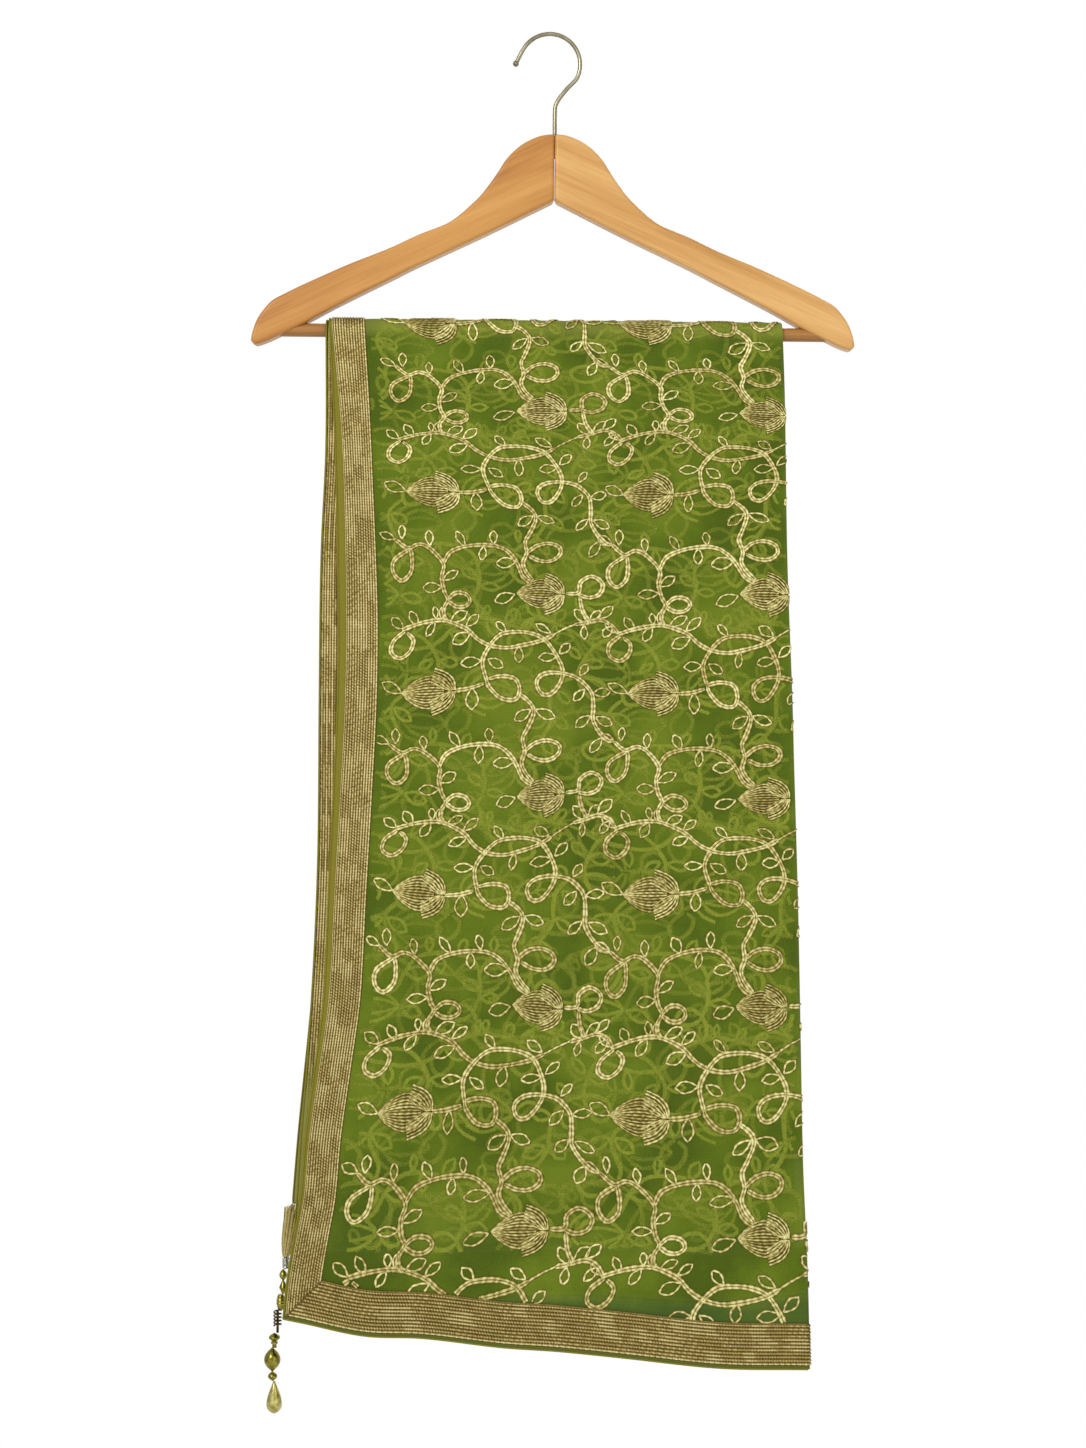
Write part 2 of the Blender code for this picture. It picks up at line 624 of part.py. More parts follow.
def make_hook(frame, collection):
    """Bent wire with a ball at its tip; its shank goes down into the wood."""
    stations = hook_stations()
    curve = bpy.data.curves.new("hanger_hook", "CURVE")
    curve.dimensions = "3D"
    curve.bevel_depth = MM
    curve.bevel_resolution = 2
    curve.render_resolution_u = 0
    curve.use_fill_caps = True
    spline = curve.splines.new("POLY")
    spline.points.add(len(stations) - 1)
    for point, (x, z, radius) in zip(spline.points, stations):
        point.co = (x * MM, 0.0, z * MM, 1.0)
        point.radius = radius
    curve.materials.append(finish_material("steel"))
    hook = bpy.data.objects.new("hanger_hook", curve)
    collection.objects.link(hook)
    hook.parent = frame
    return hook


def make_hanger(parts, cutters):
    frame = hanger_frame(parts)
    quarter_turn = math.pi / 2.0
    rod_place = (CENTRE_X, 0.0, ROD_Z)
    bore = make_cylinder("rod_bore", ROD_RADIUS + FIT_GAP, 2.0 * (ROD_HALF_LENGTH + FIT_GAP),
                         ROD_SIDES, rod_place, (0.0, quarter_turn, 0.0), cutters)
    shank_top = WOOD_TOP_Z + 10.0
    shank_foot = WOOD_TOP_Z - SHANK_DEPTH - FIT_GAP
    socket = make_cylinder("shank_bore", HOOK_WIRE_RADIUS + FIT_GAP, shank_top - shank_foot, 12,
                           (CENTRE_X, 0.0, (shank_top + shank_foot) / 2.0), (0.0, 0.0, 0.0), cutters)
    for cutter in (bore, socket):
        cutter.hide_render = True
        cutter.display_type = "WIRE"
        cutter.parent = frame
    make_arm("hanger_arm_left", -1, (bore, socket), frame, parts)
    make_arm("hanger_arm_right", 1, (bore, socket), frame, parts)
    rod = make_cylinder("hanger_rod", ROD_RADIUS, 2.0 * ROD_HALF_LENGTH, ROD_SIDES, rod_place,
                        (0.0, quarter_turn, 0.0), parts)
    rod.data.materials.append(finish_material("wood"))
    rod.data.shade_smooth()
    rod.parent = frame
    make_hook(frame, parts)


def bead_size(shape, share, step):
    """Radius of a turned bead at `share` of its height, as a share of its greatest radius."""
    dome = math.sqrt(1.0 - (2.0 * share - 1.0) ** 2)
    if shape == "ball_and_bicone":
        if share < TOP_BALL_SHARE:
            return math.sin(math.pi * min(share / TOP_BALL_SHARE, 0.9)) ** 0.7
        place = (share - TOP_BALL_SHARE) / (1.0 - TOP_BALL_SHARE)
        return between(0.35, 1.0, 1.0 - abs(2.0 * place - 1.0))
    if shape == "ribbed":
        return (0.62 + 0.38 * dome) * (1.0 if step % 3 else 0.8)
    if shape == "coil":
        pin = 0.24
        return pin if share > 0.8 else (1.0 if step % 2 else 0.66)
    if shape == "necked":
        ball, collar = 0.6, 0.74
        if share < ball:
            return math.sin(math.pi * min(share / ball, 0.9))
        return 0.62 if share < collar else 0.45
    if shape == "oval":
        return dome ** 0.8
    if shape == "drop":
        return read_table(DROP_ROWS, share)
    return dome


BEAD_STEPS = {"round": 6, "ball_and_bicone": 15, "ribbed": 12, "coil": 14, "necked": 10,
              "oval": 8, "drop": 10}


def bead_profile(shape, radius, height):
    """Radius against height of a turned bead, closed on the axis by a small flat at each end."""
    steps = BEAD_STEPS[shape]
    rows = []
    for step in range(1, steps):
        size = max(bead_size(shape, step / steps, step), 0.2)
        rows.append((size * radius, height * (0.5 - step / steps)))
    half = height * 0.5
    flat = BEAD_END * radius
    return [(0.0, half), (flat, half)] + rows + [(flat, -half), (0.0, -half)]


def make_bead(bead, centre, collection):
    profile = bead_profile(bead.shape, bead.diameter / 2.0, bead.height)
    mesh = bpy.data.meshes.new(bead.name)
    edges = [(i, i + 1) for i in range(len(profile) - 1)]
    mesh.from_pydata([(r * MM, 0.0, z * MM) for r, z in profile], edges, [])
    mesh.materials.append(finish_material(bead.metal))
    thing = bpy.data.objects.new(bead.name, mesh)
    collection.objects.link(thing)
    thing.location = centre * MM
    turning = thing.modifiers.new("turning", "SCREW")
    turning.steps = BEAD_SIDES
    turning.render_steps = BEAD_SIDES
    turning.use_merge_vertices = True
    turning.merge_threshold = 0.00005
    turning.use_smooth_shade = True
    return thing


def make_beads(collection):
    """String of beads under the knot, each one a fitting gap below the last."""
    top = KNOT_TOP_Z
    for bead in BEADS:
        middle = top - bead.height / 2.0
        place = Vector((read_table(TASSEL_SWAY, middle), TASSEL_Y, middle))
        make_bead(bead, place, collection)
        top -= bead.height + FIT_GAP


def square_to_disc(x, y):
    """Even spread of a square's points over a disc."""
    return x * math.sqrt(1.0 - y * y / 2.0), y * math.sqrt(1.0 - x * x / 2.0)


def make_tuft(collection):
    """Threads fused in a short head, spreading upward to the cloth's corner."""
    edit = bmesh.new()
    bmesh.ops.create_grid(edit, x_segments=TUFT_GRID, y_segments=TUFT_GRID, size=1.0)
    for vert in edit.verts:
        x, y = square_to_disc(vert.co.x, vert.co.y)
        vert.co = Vector((x * TUFT_HEAD_RADIUS, y * TUFT_HEAD_RADIUS, TUFT_HEAD_HEIGHT))
    cells = list(edit.faces)
    rim = [edge for edge in edit.edges if edge.is_boundary]
    skirt = bmesh.ops.extrude_edge_only(edit, edges=rim)["geom"]
    low_edges = [item for item in skirt if isinstance(item, bmesh.types.BMEdge)]
    for item in skirt:
        if isinstance(item, bmesh.types.BMVert):
            item.co.z = 0.0
    bmesh.ops.contextual_create(edit, geom=[e for e in low_edges if e.is_boundary])
    bmesh.ops.inset_individual(edit, faces=cells, thickness=0.1, depth=0.0)
    foot = Vector((read_table(TASSEL_SWAY, KNOT_TOP_Z), TASSEL_Y, KNOT_TOP_Z + FIT_GAP))
    corner = cloth_point(BACK_OUTER, 0.0, hem_drop(BACK_OUTER, 0.0))
    top = corner + Vector(TUFT_TOP_OFFSET)
    lean = (top - foot) / (top.z - foot.z)
    rise = top.z - foot.z - TUFT_HEAD_HEIGHT
    threads = []
    for number, cell in enumerate(cells):
        centre = cell.calc_center_median()
        threads.append((cell, centre.x, centre.y, number))
    for cell, centre_x, centre_y, number in threads:
        ragged = 1.0 - 0.09 * (0.5 + 0.5 * math.sin(number * 2.4))
        sideways = 0.35 * math.sin(number * 4.1)
        face = cell
        was = 0.0
        for station in TUFT_STATIONS:
            made = bmesh.ops.extrude_discrete_faces(edit, faces=[face])
            face = made["faces"][0]
            fan = TUFT_TOP_RADIUS / TUFT_HEAD_RADIUS - 1.0
            step = station ** 0.8 - was ** 0.8
            shift = Vector((centre_x * fan * step + sideways * (station - was),
                            centre_y * fan * step * 0.72, rise * ragged * (station - was)))
            grow = 1.5 if station < 1.0 else 0.8
            middle = face.calc_center_median()
            for vert in face.verts:
                vert.co = middle + (vert.co - middle) * grow + shift
            was = station
    for vert in edit.verts:
        vert.co = foot + Vector((vert.co.x, vert.co.y, 0.0)) + lean * vert.co.z
    bmesh.ops.recalc_face_normals(edit, faces=edit.faces)
    for vert in edit.verts:
        vert.co *= MM
    mesh = bpy.data.meshes.new("tassel_tuft")
    edit.to_mesh(mesh)
    edit.free()
    mesh.materials.append(finish_material("thread"))
    thing = bpy.data.objects.new("tassel_tuft", mesh)
    collection.objects.link(thing)
    return thing


def make_cloth(parts):
    """Cloth over the rod and four hangs, each hang with its own side and hem ribbon."""
    over_rod("cloth_over_rod", parts)
    for name, hang, columns, steps in (
            ("front_outer", FRONT_OUTER, 13, 20), ("front_inner", FRONT_INNER, 12, 16),
            ("back_outer", BACK_OUTER, 13, 18), ("back_inner", BACK_INNER, 12, 15)):
        layer_wall(name, hang, columns, steps, parts)
        side_ribbon(name + "_side_ribbon", hang, steps, parts)
        hem_ribbon(name + "_hem_ribbon", hang, columns, parts)


def make_vines(parts):
    for name, hang, repeats in (("front", FRONT_OUTER, range(0, 6)),
                                ("back", BACK_OUTER, range(-6, 0))):
        vine_run(name + "_vine_left", hang, 0, repeats, parts)
        vine_run(name + "_vine_right", hang, 1, repeats, parts)


def main():
    clear_scene()
    parts = new_collection("dupatta_stole")
    cutters = new_collection("cutters")
    make_hanger(parts, cutters)
    make_cloth(parts)
    make_vines(parts)
    make_tuft(parts)
    make_beads(parts)


main()
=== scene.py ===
"""Looks of the dupatta stole on its wooden hanger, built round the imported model.

Lengths are millimetres until a mesh is made. The front of the hanger faces -Y.
"""

import math
import random
from collections import namedtuple

import bpy
import numpy as np
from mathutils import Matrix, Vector

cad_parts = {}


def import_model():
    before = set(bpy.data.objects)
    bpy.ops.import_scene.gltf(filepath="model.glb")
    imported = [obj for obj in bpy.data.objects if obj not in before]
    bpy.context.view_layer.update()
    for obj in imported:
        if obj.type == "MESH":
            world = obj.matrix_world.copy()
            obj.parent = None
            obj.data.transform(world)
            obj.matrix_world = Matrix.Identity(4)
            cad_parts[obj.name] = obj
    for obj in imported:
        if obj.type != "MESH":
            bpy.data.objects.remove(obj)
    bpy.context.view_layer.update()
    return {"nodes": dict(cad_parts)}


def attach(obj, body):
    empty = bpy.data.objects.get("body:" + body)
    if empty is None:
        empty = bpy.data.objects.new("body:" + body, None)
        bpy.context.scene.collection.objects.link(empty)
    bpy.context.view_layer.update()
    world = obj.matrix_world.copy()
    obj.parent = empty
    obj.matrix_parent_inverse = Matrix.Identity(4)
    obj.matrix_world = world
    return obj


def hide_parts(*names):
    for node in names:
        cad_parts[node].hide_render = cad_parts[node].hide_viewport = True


MM = 0.001
BODY = "root"

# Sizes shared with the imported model
CENTRE_X = 4.3
TILT = math.radians(0.58)
WOOD_THICKNESS = 14.0
WOOD_EDGE = 2.6
ROD_Z = -221.3
FIT_GAP = 0.3
HOOK_WIRE_RADIUS = 1.6
HOOK_ARC_RADIUS = 22.7
HOOK_ARC_CENTRE = (0.07, -21.1)
HOOK_ARC_START = 152.0    # degrees, at the ball's side
HOOK_ARC_END = -28.0
HOOK_LIP_RUN = (5.2, 10.4)  # from the ball to the start of the arc
HOOK_BALL_RADIUS = 2.3
HOOK_NECK = [(13.2, -39.2), (8.1, -45.6), (5.4, -50.4), (CENTRE_X, -56.0)]
HOOK_SIDES = 20
FERRULE_PROFILE = [(0.0, 0.5), (2.6, 0.45), (3.0, 0.1), (3.0, -0.9)]
FERRULE_SIDES = 28
SHANK_DEPTH = 17.0
WOOD_TOP_Z = -74.3
INNER_RADIUS = 7.3
OUTER_RADIUS = 8.7
INNER_SPREAD = 3.5
OUTER_SPREAD = 5.5
SPREAD_DROP = 740.0
SIDE_RIBBON = 23.6
HEM_RIBBON = 31.0
HEM_EDGING = 2.6
INNER_MARGIN = 0.6
RIBBON_WRAP = 0.4

Wave = namedtuple("Wave", "depth cycles phase lean")
Crease = namedtuple("Crease", "top_x top_drop foot_x foot_drop width depth")

# Side ribbon by length of cloth from the rod's crest: bare net outside it, and its own width
OUTER_MARGINS = [(0.0, 2.2), (110.0, 6.0), (300.0, 6.2), (720.0, 2.2)]
SIDE_RIBBON_WIDTHS = [(0.0, 24.3), (110.0, 21.4), (240.0, 23.4), (720.0, 23.6)]

# Long edges of the hanging cloth: height against place
FRONT_OUTER_LEFT = [
    (-211.9, -164.1), (-307.9, -159.4), (-419.5, -157.2), (-493.9, -157.6), (-568.3, -160.8),
    (-642.7, -164.4), (-717.1, -167.6), (-769.2, -174.0), (-821.2, -180.8), (-865.9, -184.4),
    (-895.6, -189.4), (-928.4, -194.6), (-956.0, -197.4),
]
FRONT_INNER_LEFT = [
    (-211.9, -166.2), (-307.9, -166.3), (-389.7, -169.9), (-493.9, -171.3), (-605.5, -172.2),
    (-679.9, -174.8), (-754.3, -179.3), (-821.2, -184.6), (-880.7, -188.6), (-945.0, -193.0),
]
BACK_OUTER_LEFT = [
    (-211.9, -164.1), (-400.0, -162.6), (-570.0, -168.0), (-642.7, -174.2), (-717.1, -178.9),
    (-821.2, -189.3), (-872.0, -193.6),
]
BACK_INNER_LEFT = [
    (-211.9, -163.0), (-400.0, -161.0), (-570.0, -164.5), (-717.1, -173.0), (-821.2, -178.0),
    (-890.0, -180.0),
]
FOLD_RIGHT = [
    (-211.9, 172.6), (-270.7, 174.5), (-389.7, 176.2), (-493.9, 179.8), (-538.5, 180.9),
    (-642.7, 183.8), (-717.1, 185.3), (-836.1, 187.6), (-880.7, 189.5), (-925.4, 191.4),
    (-991.6, 192.8),
]

# Length of each hang from the rod's crest, across its width
FRONT_OUTER_HEM = [
    (0.0, 747.8), (0.04, 750.6), (0.155, 759.3), (0.26, 761.2), (0.41, 768.1), (0.525, 770.3),
    (0.66, 774.5), (0.84, 780.5), (1.0, 782.1),
]
FRONT_INNER_HEM = [
    (0.0, 729.2), (0.3, 732.0), (0.55, 727.5), (0.82, 730.5), (1.0, 724.7),
]
BACK_OUTER_HEM = [
    (0.0, 669.0), (0.25, 659.0), (0.6, 643.0), (1.0, 627.0),
]
BACK_INNER_HEM = [
    (0.0, 682.0), (0.35, 678.0), (0.7, 682.0), (1.0, 686.0),
]
FRONT_WAVES = [Wave(2.6, 1.45, 0.15, 0.9), Wave(0.5, 3.1, 0.55, -0.7)]
BACK_WAVES = [Wave(2.4, 1.25, 0.60, -0.8), Wave(0.5, 2.8, 0.10, 0.9)]

# Soft troughs and ridges that both layers of a hang share
CREASE_BOW = 10.0
CREASE_FADE = 0.35        # share of a crease's length over which each end fades out
FRONT_CREASES = [
    Crease(-60, 150, 30, 330, 9, 0.5), Crease(80, 90, 120, 300, 11, -0.5),
    Crease(-120, 330, -20, 420, 8, 0.4), Crease(20, 420, 150, 470, 9, -0.4),
    Crease(-100, 560, 60, 600, 10, 0.5), Crease(90, 560, 170, 690, 9, 0.5),
    Crease(-150, 690, 10, 715, 9, -0.6), Crease(-30, 30, -50, 240, 12, -0.4),
]
BACK_CREASES = [
    Crease(70, 130, -20, 300, 10, 0.5), Crease(-110, 90, -90, 310, 11, -0.5),
    Crease(120, 330, 20, 410, 9, 0.4), Crease(-20, 400, -140, 480, 9, -0.4),
    Crease(110, 520, -60, 590, 10, 0.5),
]

# The embroidery's chart: x to the right and y down from a large bud, one repeat of the pattern
CHART_PITCH_X = 160.0
CHART_PITCH_Y = 149.0
CHART_WIDTH = 330.0       # the folded cloth's width in the chart's units
COLUMN_SHARE = 0.2187     # place of the left column's large bud across the cloth
COLUMN_LEAN = 0.0067      # how far the columns lean to the left with each repeat
REPEAT_DROPS = [
    (-6, -930.0), (-5, -772.0), (-4, -610.0), (-3, -450.0), (-2, -290.0), (-1, -128.0),
    (0, 8.0), (1, 136.0), (2, 282.0), (3, 432.0), (4, 595.0), (5, 768.0), (6, 940.0),
]
LOWER_BUD = (82.0, 77.0)
STEMS = [
    [(19, 0), (29, -1), (39, -4)],
    [(41, -6), (38, -20), (43, -31), (52, -40), (64, -42), (75, -41), (84, -37), (91, -27),
     (95, -16), (93, -6), (86, 3), (79, 3), (76, -5), (81, -11), (91, -13), (103, -11),
     (110, -6), (115, 1), (116, 12), (116, 21), (121, 30), (128, 37), (133, 38)],
    [(41, -6), (43, -1), (51, 7), (61, 8), (64, 1), (61, -7), (51, -9), (42, -7)],
    [(64, 4), (72, 11), (74, 18), (70, 29), (67, 36), (69, 45), (67, 53), (70, 60), (76, 67)],
    [(69, 45), (76, 39), (85, 37), (93, 40), (94, 46), (88, 51), (79, 51), (71, 47)],
    [(-27, 38), (-18, 45), (-10, 42), (-2, 45), (8, 56), (7, 66), (9, 76), (12, 82), (9, 88),
     (9, 94), (12, 98)],
    [(8, 56), (13, 47), (24, 42), (37, 40), (49, 41), (57, 46), (63, 54), (68, 64), (75, 69)],
    [(-23, -45), (-15, -48), (-4, -51), (9, -52), (21, -48), (28, -44), (35, -37), (44, -32),
     (56, -30), (68, -32), (82, -36), (91, -41)],
    [(107, -50), (115, -52), (126, -55), (134, -51), (138, -45)],
    [(-21, -44), (-29, -37), (-30, -29), (-23, -25), (-16, -30), (-14, -38), (-19, -43)],
    [(-17, 46), (-28, 54), (-29, 63), (-23, 69), (-16, 63), (-15, 53), (-16, 46)],
    [(12, 82), (18, 77), (26, 78), (29, 83), (25, 87), (18, 87), (12, 83)],
    [(101, 76), (110, 75), (111, 67), (119, 62), (127, 67), (125, 75), (117, 78), (110, 76)],
    [(111, 78), (113, 88), (118, 97)],
]
THIN_STEMS = [[(91, -41), (99, -46), (107, -50)]]
LEAFLETS = [
    (-22, -46, -31, -53), (-11, -48, -17, -58), (2, -51, -4, -41), (3, -53, 2, -61),
    (7, -53, 8, -61), (26, -47, 35, -55), (29, -42, 17, -36), (89, -42, 79, -48),
    (65, -31, 64, -19), (115, -52, 108, -61), (114, -50, 113, -40), (125, -56, 134, -65),
    (134, -51, 127, -43), (56, -42, 49, -50), (37, -21, 24, -20), (42, -22, 52, -16),
    (92, -25, 79, -23), (94, -27, 102, -35), (107, -12, 113, -20), (110, -2, 102, 7),
    (116, 1, 127, -1), (114, 18, 105, 26), (118, 19, 130, 25), (124, 35, 117, 46),
    (31, -1, 31, 13), (72, 15, 61, 23), (75, 15, 88, 20), (-2, 43, -3, 33),
    (-27, 38, -37, 33), (-22, 38, -22, 28), (23, 42, 17, 32), (44, 39, 43, 29),
    (37, 41, 36, 52), (62, 52, 47, 54), (8, 68, 19, 61), (7, 73, -6, 74),
    (-19, 0, -33, -7), (63, 78, 49, 83), (118, 95, 126, 87), (14, 98, 25, 92),
]
BUD_LENGTH = 38.0
BUD_SCALES = {"large": 1.0, "small": 0.92}

# Wooden yoke: one arm's outline from the mitre to the shoulder tip and back, as the distance
# out from the mitre and the height
ARM_OUTLINE = [
    (0.0, -74.3), (10.0, -75.6), (21.2, -80.4), (29.5, -86.6), (36.2, -93.9), (42.0, -103.0),
    (48.1, -111.9), (55.0, -120.8), (63.0, -128.7), (71.5, -136.2), (81.0, -142.3),
    (101.0, -150.4), (122.8, -160.7), (150.9, -172.1), (171.0, -181.1), (188.8, -189.4),
    (199.3, -194.7), (209.0, -200.1), (215.4, -207.0), (220.2, -214.3), (223.5, -223.2),
    (224.7, -229.6), (222.3, -233.2), (213.8, -230.8), (203.3, -225.9), (182.3, -215.5),
    (163.0, -204.9), (138.8, -192.5), (118.6, -182.3), (101.0, -173.3), (50.0, -149.0),
    (0.0, -124.0),
]

ARM_TIP = 21              # the outline's row at the shoulder tip
ARM_SPACING = 3.0

# Tassel
Bead = namedtuple("Bead", "node diameter height shape")
BEADS = [
    Bead("tassel_knot", 5.6, 8.8, "knot"),
    Bead("tassel_top_pair", 6.2, 18.7, "ball_and_bicone"),
    Bead("tassel_ribbed", 6.8, 11.4, "ribbed"),
    Bead("tassel_coil", 6.6, 17.1, "coil"), Bead("tassel_ball_neck", 8.4, 10.9, "necked"),
    Bead("tassel_oval", 12.4, 17.4, "oval"), Bead("tassel_ball_low", 7.0, 7.1, "round"),
    Bead("tassel_drop", 11.8, 23.7, "drop"),
]
TASSEL_SWAY = [
    (-1019.6, -207.4), (-1004.0, -208.6), (-991.4, -208.8), (-977.0, -207.2), (-962.6, -204.8),
    (-948.1, -202.4), (-932.8, -200.6), (-918.7, -198.6),
]
TASSEL_Y = 12.0
TOP_BALL_SHARE = 0.47
DROP_ROWS = [(0.0, 0.08), (0.19, 0.42), (0.43, 0.79), (0.62, 0.97), (0.75, 1.0), (0.85, 0.9),
             (0.93, 0.66), (1.0, 0.28)]
KNOT_TOP_Z = -914.3
TUFT_TOP_OFFSET = (2.4, -0.4, -0.4)
TUFT_STRANDS = 150
TUFT_HEAD_RADIUS = 2.2
TUFT_TOP_RADII = (8.4, 5.4)
STRAND_RADII = (0.42, 0.26)
STRAND_STEPS = 9
BEAD_POLE = 0.05          # radius of the small closing ring at each end of a bead

# Wound beads: wire radius, turns, and the winding and its core as shares of the bead's size
WINDINGS = {"coil": (0.62, 4.5, 0.72, 0.3), "knot": (0.5, 7.0, 0.86, 0.62)}


def smooth_step(value):
    value = np.clip(value, 0.0, 1.0)
    return value * value * (3.0 - 2.0 * value)


def eased_samples(rows, per_stretch=12):
    """Fine samples of a short table, eased between its rows, for np.interp."""
    rows = sorted(rows)
    at, values = [], []
    for index in range(len(rows) - 1):
        low, high = rows[index], rows[index + 1]
        before = rows[max(index - 1, 0)]
        after = rows[min(index + 2, len(rows) - 1)]
        span = high[0] - low[0]
        slope_low = (high[1] - before[1]) / (high[0] - before[0])
        slope_high = (after[1] - low[1]) / (after[0] - low[0])
        for step in range(per_stretch):
            share = step / per_stretch
            square, cube = share * share, share ** 3
            at.append(low[0] + span * share)
            values.append((2 * cube - 3 * square + 1) * low[1]
                          + (cube - 2 * square + share) * span * slope_low
                          + (-2 * cube + 3 * square) * high[1]
                          + (cube - square) * span * slope_high)
    at.append(rows[-1][0])
    values.append(rows[-1][1])
    return np.array(at), np.array(values)


def rod_height(x):
    return ROD_Z - math.sin(TILT) * (x - CENTRE_X)


def fold_radius(below):
    spread = (OUTER_SPREAD - INNER_SPREAD) * below / SPREAD_DROP
    return (OUTER_RADIUS - INNER_RADIUS + spread) / 2.0


def crease_depth(creases, x, drop):
    """Depth of the soft troughs and ridges at each point."""
    total = np.zeros_like(x)
    for crease in creases:
        run_x = crease.foot_x - crease.top_x
        run_drop = crease.foot_drop - crease.top_drop
        length = math.hypot(run_x, run_drop)
        along = ((x - crease.top_x) * run_x + (drop - crease.top_drop) * run_drop) / length
        aside = ((x - crease.top_x) * run_drop - (drop - crease.top_drop) * run_x) / length
        bow = CREASE_BOW * np.sin(math.pi * np.clip(along / length, 0.0, 1.0))
        fade = CREASE_FADE * length
        ends = smooth_step(along / fade) * smooth_step((length - along) / fade)
        total += crease.depth * ends * np.exp(-((aside - bow) / crease.width) ** 2)
    return total


class Hang:
    """One layer of one hang: `across` is 0 at its left edge, 1 at the fold, 2 behind the fold;
    `drop` is the length of cloth down from the rod's crest."""

    def __init__(self, side, radius, spread, left, hem, waves, creases, is_outer):
        self.side = side
        self.radius = radius
        self.spread = spread
        self.left = eased_samples(left)
        self.right = eased_samples(FOLD_RIGHT)
        self.hem = eased_samples(hem)
        self.margin = eased_samples(OUTER_MARGINS)
        self.ribbon = eased_samples(SIDE_RIBBON_WIDTHS)
        self.waves = waves
        self.creases = creases
        self.is_outer = is_outer

    def middle(self, across, drop):
        quarter = self.radius * math.pi / 2.0
        arc = np.minimum(drop / self.radius, math.pi / 2.0)
        below = np.maximum(drop - quarter, 0.0)
        height = ROD_Z + self.radius * np.cos(arc) - below
        bend = fold_radius(below)
        left = np.interp(height, *self.left)
        right = np.interp(height, *self.right) - bend
        flat = np.minimum(across, 1.0)
        turn = np.clip(across - 1.0, 0.0, 1.0) * math.pi
        if self.is_outer:
            x = left + (right - left) * flat + bend * np.sin(turn)
            lift = bend * (1.0 - np.cos(turn))
        else:
            x = left + (right - FIT_GAP - left) * flat
            lift = np.zeros_like(x)
        depth = np.where(below > 0.0, self.radius - lift, (self.radius - lift) * np.sin(arc))
        depth = depth + self.spread * below / SPREAD_DROP
        y = self.side * depth + self.wave_depth(flat, below)
        y = y + self.side * crease_depth(self.creases, x, drop) * smooth_step(below / 60.0)
        z = rod_height(x) + (self.radius - lift) * np.cos(arc) - below
        return np.stack((x, y, z), axis=-1)

    def wave_depth(self, across, below):
        total = np.zeros_like(across)
        for wave in self.waves:
            turn = wave.cycles * across + wave.phase + wave.lean * below / 1400.0
            total += wave.depth * np.sin(math.tau * turn)
        return total * smooth_step(below / 520.0)

    def normal(self, across, drop):
        """Unit normals on the face that is seen, away from the rod."""
        step_across, step_drop = 0.002, 0.25
        ahead = self.middle(across + step_across, drop)
        behind = self.middle(np.where(across > step_across, across - step_across, across), drop)
        down = self.middle(across, drop + step_drop)
        up = self.middle(across, np.maximum(drop - step_drop, 0.0))
        normal = np.cross(ahead - behind, down - up)
        normal /= np.maximum(np.linalg.norm(normal, axis=-1, keepdims=True), 1e-9)
        return normal * self.side

    def points(self, across, drop, lift):
        across, drop, lift = np.broadcast_arrays(
            np.asarray(across, float), np.asarray(drop, float), np.asarray(lift, float))
        return self.middle(across, drop) + self.normal(across, drop) * lift[..., None]

    def hem_drop(self, across):
        return np.interp(np.minimum(across, 1.0), *self.hem)

    def width(self, drop):
        height = ROD_Z - np.maximum(drop - self.radius, 0.0)
        return np.interp(height, *self.right) - np.interp(height, *self.left)

    def ribbon_share(self, drop, share):
        """Place across the layer of a line down its side ribbon: 0 its outer edge, 1 inner."""
        margin = np.interp(drop, *self.margin) if self.is_outer else INNER_MARGIN
        return (margin + share * np.interp(drop, *self.ribbon)) / self.width(drop)

    def mitre(self, share):
        """Point on the diagonal where the side and hem ribbons meet: share 0 at the corner."""
        rough = self.hem_drop(0.0) - HEM_EDGING - HEM_RIBBON * share
        across = self.ribbon_share(rough, share)
        return across, self.hem_drop(across) - HEM_EDGING - HEM_RIBBON * share


FRONT_OUTER = Hang(-1, OUTER_RADIUS, OUTER_SPREAD, FRONT_OUTER_LEFT, FRONT_OUTER_HEM,
                   FRONT_WAVES, FRONT_CREASES, True)
FRONT_INNER = Hang(-1, INNER_RADIUS, INNER_SPREAD, FRONT_INNER_LEFT, FRONT_INNER_HEM,
                   FRONT_WAVES, FRONT_CREASES, False)
BACK_OUTER = Hang(1, OUTER_RADIUS, OUTER_SPREAD, BACK_OUTER_LEFT, BACK_OUTER_HEM,
                  BACK_WAVES, BACK_CREASES, True)
BACK_INNER = Hang(1, INNER_RADIUS, INNER_SPREAD, BACK_INNER_LEFT, BACK_INNER_HEM,
                  BACK_WAVES, BACK_CREASES, False)
OUTER = (FRONT_OUTER, BACK_OUTER)
INNER = (FRONT_INNER, BACK_INNER)


def over_the_rod(pair, across, along, lift):
    """Points on a layer that runs over the rod: `along` is down the front, and negative down
    the back."""
    across, along, lift = np.broadcast_arrays(
        np.asarray(across, float), np.asarray(along, float), np.asarray(lift, float))
    front = pair[0].points(across, np.maximum(along, 0.0), lift)
    back = pair[1].points(across, np.maximum(-along, 0.0), lift)
    return np.where((along >= 0.0)[..., None], front, back)


